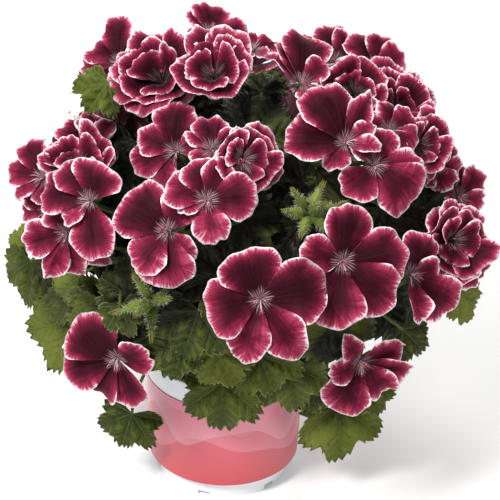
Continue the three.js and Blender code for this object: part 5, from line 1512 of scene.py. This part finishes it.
KNOB_SIDES = 12
STEM_STEPS = 24
STALK_STEPS = 14
PETIOLE_STEPS = 12
PETIOLE_LOW, PETIOLE_HIGH = 0.35, STALK_START

# In millimetres: how much nearer a bend has to be to be chosen, and what is too far for a leaf to be there
PETIOLE_BETTER = 0.05
PETIOLE_MISSING = 3

PETAL, LEAF, GREEN = petal_look(), leaf_look(), green_look()

for head in heads:
    head.hub = hub_of(head.blooms)
    stem = nearest_stem(head.hub)
    head.out = unit(head.hub - stem.tip)
    seat = head.hub - (HUB_RADIUS + GAP) * head.out
    stem.stalks.append((stalk_curve(stem, STALK_START, seat, head.out), STALK_RADIUS * 1.2, STALK_RADIUS))

    petals = Sheet("rim", "lace", "throat", "fan", "back", "tone", "dark")
    green = Sheet("kind", "tone", "along")
    draw = stream(head.blooms[0].seed + LOOK_SEEDS["head"])
    ends = np.linspace(-1, 1, 9)
    knob = head.hub + (ends * HUB_RADIUS)[:, None] * head.out
    knob_radii = HUB_RADIUS * np.sqrt(np.clip(1 - ends**2, 0.06, 1)) * 0.8
    tube(green, knob, knob_radii, KNOB_SIDES, kind=STALK_KIND, tone=0.6, along=0.5)
    bud_bracts(green, head.hub - 2 * head.out, head.out, draw)
    for flower in head.blooms:
        bloom_petals(petals, flower)
        bloom_green(green, flower, head.hub)
    node = f"flower_head_{head.name}"
    for piece, slot in (
        (petals.make(f"petals_{head.name}", PETAL), "petal"),
        (green.make(f"calyces_{head.name}", GREEN), "leaf"),
    ):
        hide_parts(node)

for head in bud_heads:
    stem = nearest_stem(head.hub)
    stem.stalks.append((stalk_curve(stem, STALK_START, head.hub, head.axis), STALK_RADIUS, STALK_RADIUS))
    stem.buds.append(head)

for leaf in leaves:
    nearest_stem(leaf.root).leaves.append(leaf)


def solid_tree(name):
    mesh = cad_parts[name].data
    return BVHTree.FromPolygons([v.co for v in mesh.vertices], [p.vertices[:] for p in mesh.polygons])


def off_solid(tree, places):
    """How far a row of places lies from the solid, on average, in millimetres"""
    gaps = [tree.find_nearest(Vector(place * METRES))[3] for place in places]
    return MILLIMETRES * sum(gaps) / len(gaps)


def petiole_of(stem, leaf, tree):
    """The way that the leaf's petiole runs in the solid, or nothing where the solid has no such leaf"""
    start = petiole_start(stem, leaf)
    under = unit(0.75 * leaf.tip + 0.65 * leaf.normal)
    best = None
    for later, sideways, drop in PETIOLE_BENDS:
        arrive = under + sideways * leaf.side
        arrive[2] -= drop
        curve = stalk_curve(stem, clamp(start + later, PETIOLE_LOW, PETIOLE_HIGH), leaf.root, unit(arrive))
        off = off_solid(tree, [curve.point(1.0), curve.point(0.5), curve.point(0.0)])
        if best is None or off < best[0] - PETIOLE_BETTER:
            best = (off, curve)
    middle = leaf.root + 0.3 * leaf.radius * leaf.tip
    middle = middle + leaf_height(leaf, 0.0, 0.3) * leaf.normal
    return best[1] if off_solid(tree, [middle, leaf.root]) < PETIOLE_MISSING else None


for number, stem in enumerate(stems):
    node = f"leafy_stem_{stem.name}"
    tree = solid_tree(node)
    blades = Sheet("vein", "radial", "edge", "back", "tone")
    green = Sheet("kind", "tone", "along")
    draw = stream(SEEDS["stem_looks"] + number)
    knuckles = 1 + 0.1 * np.abs(np.sin(np.arange(STEM_STEPS + 1) * 1.1))
    radii = np.linspace(STEM_RADIUS, STEM_TIP_RADIUS, STEM_STEPS + 1) * 0.95 * knuckles
    hairy_tube(green, stem.curve.walk(STEM_STEPS), radii, *HAIRY["stem"], draw, tone=0.3, along=0.3)
    for curve, start_radius, end_radius in stem.stalks:
        radii = np.linspace(start_radius, end_radius, STALK_STEPS + 1)
        hairy_tube(green, curve.walk(STALK_STEPS), radii, *HAIRY["stalk"], draw, tone=draw(), along=0.5)
    for head in stem.buds:
        for bud in head.buds:
            bud_body(green, head.hub, bud, draw)
        bud_bracts(green, head.hub, head.axis, draw)
    for leaf in stem.leaves:
        petiole = petiole_of(stem, leaf, tree)
        if petiole is None:
            continue
        leaf_blade(blades, leaf, draw())
        radii = np.linspace(1.0, 0.8, PETIOLE_STEPS + 1) * PETIOLE_RADIUS
        walk = petiole.walk(PETIOLE_STEPS)
        hairy_tube(green, walk, radii, *HAIRY["petiole"], draw, tone=draw(), along=0.4)
    for piece in (blades.make(f"leaves_{stem.name}", LEAF), green.make(f"stalks_{stem.name}", GREEN)):
        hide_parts(node)


# Write the painted shade that darkens each plant piece's colour deep within the crown
bake_painted_shade(PAINTED_SHADE_PIECES)

# Pot, band and soil

POT_COLUMNS = 180
POT_FLOOR = 3
RIM_SEAT = POT_HEIGHT - RIM_HEIGHT
NOTCH_HALF = FOOT_NOTCH["width"] / 2 / FOOT_RADIUS
BAND_ROWS = 12
SHARP_EDGE = 40
SOIL_COLUMNS = 96
SOIL_RINGS = 26
CRUMBS = 1500
CRUMB_CORNERS = np.array([[1, 0, 0], [0, 1, 0], [-1, 0, 0], [0, -1, 0], [0, 0, 1], [0, 0, -1]], float)
CRUMB_SIDES = [(0, 1), (1, 2), (2, 3), (3, 0)]
CRUMB_FACES = np.array([(a, b, 4) for a, b in CRUMB_SIDES] + [(b, a, 5) for a, b in CRUMB_SIDES])


def body_radius(z):
    return np.interp(z, [FOOT_HEIGHT, RIM_SEAT], [BODY_LOW_RADIUS, BODY_TOP_RADIUS])


def rounded(profile, radius, steps=3):
    """A profile with its corners rounded off"""
    made = [profile[0]]
    for before, here, after in zip(profile, profile[1:], profile[2:]):
        before, here, after = (np.array(place, float) for place in (before, here, after))
        reach = min(radius, 0.4 * np.linalg.norm(before - here), 0.4 * np.linalg.norm(after - here))
        first, last = here + reach * unit(before - here), here + reach * unit(after - here)
        for t in np.linspace(0, 1, steps):
            made.append((1 - t) ** 2 * first + 2 * t * (1 - t) * here + t * t * last)
    return np.array([*made, profile[-1]], float)


def ring_row(radius, turns, z):
    return np.stack([radius * np.cos(turns), radius * np.sin(turns), np.broadcast_to(z, turns.shape)], axis=1)


def off_notch(turns, centre):
    return np.abs((turns - centre + math.pi) % TURN - math.pi)


def make_pot():
    """The pot in one row of places per height, with more of them at the sides of the notches in its foot"""
    centres = [(i + 0.25) * TURN / FOOT_NOTCHES for i in range(FOOT_NOTCHES)]
    turns = np.arange(POT_COLUMNS) * TURN / POT_COLUMNS
    for centre in centres:
        sides = [side * (NOTCH_HALF + step) for side in (-1, 1) for step in (0.001, -0.001)]
        extra = (centre + np.array([*sides, *(NOTCH_HALF * np.linspace(-0.6, 0.6, 4))])) % TURN
        turns = np.concatenate([turns[off_notch(turns, centre) > NOTCH_HALF + 0.012], extra])
    turns = np.sort(turns)
    in_notch = np.any([off_notch(turns, centre) < NOTCH_HALF for centre in centres], axis=0)
    notched = np.where(in_notch, FOOT_NOTCH["height"], 0.0)
    inward = FOOT_RADIUS - FOOT_NOTCH["depth"] * 0.45
    foot = [(0.5, 0.0), (inward, 0.0), (inward, notched), (FOOT_RADIUS, notched), (FOOT_RADIUS, notched)]
    upper = rounded(
        [
            [FOOT_RADIUS + 0.2, FOOT_NOTCH["height"] + 0.2],
            [FOOT_RADIUS + 0.6, FOOT_HEIGHT - 1],
            [BODY_LOW_RADIUS, FOOT_HEIGHT],
            [BODY_TOP_RADIUS, RIM_SEAT],
            [RIM_RADIUS - 0.4, RIM_SEAT + 0.6],
            [RIM_RADIUS, POT_HEIGHT - 1.4],
            [RIM_RADIUS - 0.5, POT_HEIGHT],
            [RIM_RADIUS - RIM_WALL, POT_HEIGHT - 0.4],
            [BODY_TOP_RADIUS - POT_WALL, RIM_SEAT],
            [FOOT_RADIUS - POT_WALL, FOOT_HEIGHT - 2],
            [FOOT_RADIUS - POT_WALL - 1, POT_FLOOR],
            [0.5, POT_FLOOR],
        ],
        radius=0.6,
    )
    rows = [ring_row(r, turns, z) for r, z in (*foot, *upper)]
    sheet = Sheet()
    sheet.add(np.concatenate(rows), grid_faces(len(rows), len(turns), closed=True))
    return sheet.make("nursery_pot", pot_look())


def make_band():
    """The band as a closed loop of places turned once round the pot, with its seam at the back"""
    low, high, thick = BAND["low"], BAND["high"], BAND["thickness"]
    turns = np.arange(POT_COLUMNS + 1) * TURN / POT_COLUMNS - math.pi / 2
    heights = np.linspace(low, high, BAND_ROWS)
    inside = [[body_radius(z) + GAP, z] for z in heights]
    outside = [[body_radius(z) + GAP + thick, z] for z in heights]
    loop = np.array([*outside, *inside[::-1], outside[0]])
    points = [[r * math.cos(t), r * math.sin(t), z] for r, z in loop for t in turns]
    rise = (np.repeat(loop[:, 1], len(turns)) - low) / (high - low)
    sheet = Sheet("turn", "rise")
    sheet.add(points, grid_faces(len(loop), len(turns)), turn=np.tile(turns, len(loop)), rise=rise)
    return sheet.make("printed_band", band_look())


def soil_radius(z):
    return np.interp(z, [FOOT_HEIGHT - 2, RIM_SEAT], [FOOT_RADIUS, BODY_TOP_RADIUS]) - POT_WALL - 2 * GAP


def make_soil():
    """A bumpy, rough disc with its sides, strewn with crumbs and a few paler fibres"""
    draw = stream(SEEDS["soil"])
    turns = np.arange(SOIL_COLUMNS) * TURN / SOIL_COLUMNS
    rows = []
    for i in range(1, SOIL_RINGS + 1):
        share = i / SOIL_RINGS
        bump = SOIL_BUMP * np.sin(5 * turns + 6 * i / SOIL_RINGS) * np.cos(3 * turns - 3 * i / SOIL_RINGS)
        rough = np.array([swing(draw, 0.45) for _ in turns])
        radius = soil_radius(SOIL_SURFACE) * i / SOIL_RINGS
        rows.append(ring_row(radius, turns, SOIL_SURFACE + bump * share + rough - 0.4))
    for z in (SOIL_SURFACE - 4, FOOT_HEIGHT + 0.2):
        rows.append(ring_row(soil_radius(z), turns, z))
    points = np.concatenate([*rows, [[0, 0, SOIL_SURFACE]]])
    faces = grid_faces(len(rows), SOIL_COLUMNS, closed=True, flip=True)
    faces.append(fan_faces(0, SOIL_COLUMNS, len(points) - 1))
    sheet = Sheet("fibre")
    sheet.add(points, faces)
    for _ in range(CRUMBS):
        r, turn = (soil_radius(SOIL_SURFACE) - 2.5) * math.sqrt(draw()), TURN * draw()
        size = 0.5 + 1.5 * draw() ** 3
        jitter = np.array([[swing(draw, 0.35) for _ in range(3)] for _ in CRUMB_CORNERS])
        fibre = draw() < 0.06
        shape = (CRUMB_CORNERS + jitter) * size * (vec(1.8, 0.5, 0.4) if fibre else vec(1, 0.9, 0.7))
        draws(draw, 2)  # Passed over, so that the numbers after them stay what they were
        place = vec(r * math.cos(turn), r * math.sin(turn), SOIL_SURFACE + 0.1 + swing(draw, 0.4))
        shape[:, 2] = np.minimum(shape[:, 2], 1.2)
        sheet.add(shape + place, [CRUMB_FACES], fibre=0.8 if fibre else 0.0)
    return sheet.make("peat", soil_look(), smooth=False)


for piece, node, slot in (
    (make_pot(), "pot", "pot"),
    (make_band(), "label_band", "band"),
    (make_soil(), "soil", "soil"),
):
    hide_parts(node)
    if node != "soil":
        piece.data.set_sharp_from_angle(angle=SHARP_EDGE * DEG)

# Floor, light and camera, in metres

FLOOR_HALF = 4
WORLD_LIGHT = 0.48
SENSOR_WIDTH = 36

# Round soft lights, as name, place, what they are aimed at, size and power
LIGHTS = [
    ("key", (-0.7, -1.0, 1.35), (0.02, 0, 0.2), 0.4, 27.5),
    ("fill", (1.1, -1.0, 0.8), (0.05, 0, 0.12), 1.2, 2.5),
    ("top", (0.1, 0.25, 1.7), (0.02, 0, 0.2), 1.0, 10),
    ("back", (0.3, 1.3, 0.9), (0.02, 0, 0.2), 1.2, 6),
    ("far", (-0.4, 2.1, 1.3), (-0.3, 1.6, 0), 1.4, 9),
]


def stand(name, data):
    thing = bpy.data.objects.new(name, data)
    bpy.context.scene.collection.objects.link(thing)
    return thing


mesh = bpy.data.meshes.new("floor")
corners = [(x * FLOOR_HALF, y * FLOOR_HALF, 0) for x, y in ((-1, -1), (1, -1), (1, 1), (-1, 1))]
mesh.from_pydata(corners, [], [(0, 1, 2, 3)])
mesh.materials.append(floor_look())
ground = stand("floor", mesh)

bpy.context.scene.view_settings.view_transform = "Standard"
for name, place, aim, size, power in LIGHTS:
    light = bpy.data.lights.new(name, "AREA")
    light.shape = "DISK"
    light.size = size
    light.energy = power
    lamp = stand(name, light)
    lamp.location = place
    lamp.rotation_euler = (Vector(aim) - Vector(place)).to_track_quat("-Z", "Y").to_euler()

world = bpy.data.worlds.new("studio")
bpy.context.scene.world = world
world.use_nodes = True
backdrop = world.node_tree.nodes["Background"]
backdrop.inputs["Color"].default_value = (1, 1, 1, 1)
backdrop.inputs["Strength"].default_value = WORLD_LIGHT

lens = bpy.data.cameras.new("camera")
lens.lens = SENSOR_WIDTH * VIEW_FOCAL / (2 * VIEW_MIDDLE)
lens.sensor_width = SENSOR_WIDTH
camera = stand("camera", lens)
camera.location = EYE * METRES
look_way = Vector(VIEW_TARGET - EYE).to_track_quat("-Z", "Y") @ Quaternion((0, 0, 1), VIEW_ROLL)
camera.rotation_euler = look_way.to_euler()
bpy.context.scene.camera = camera
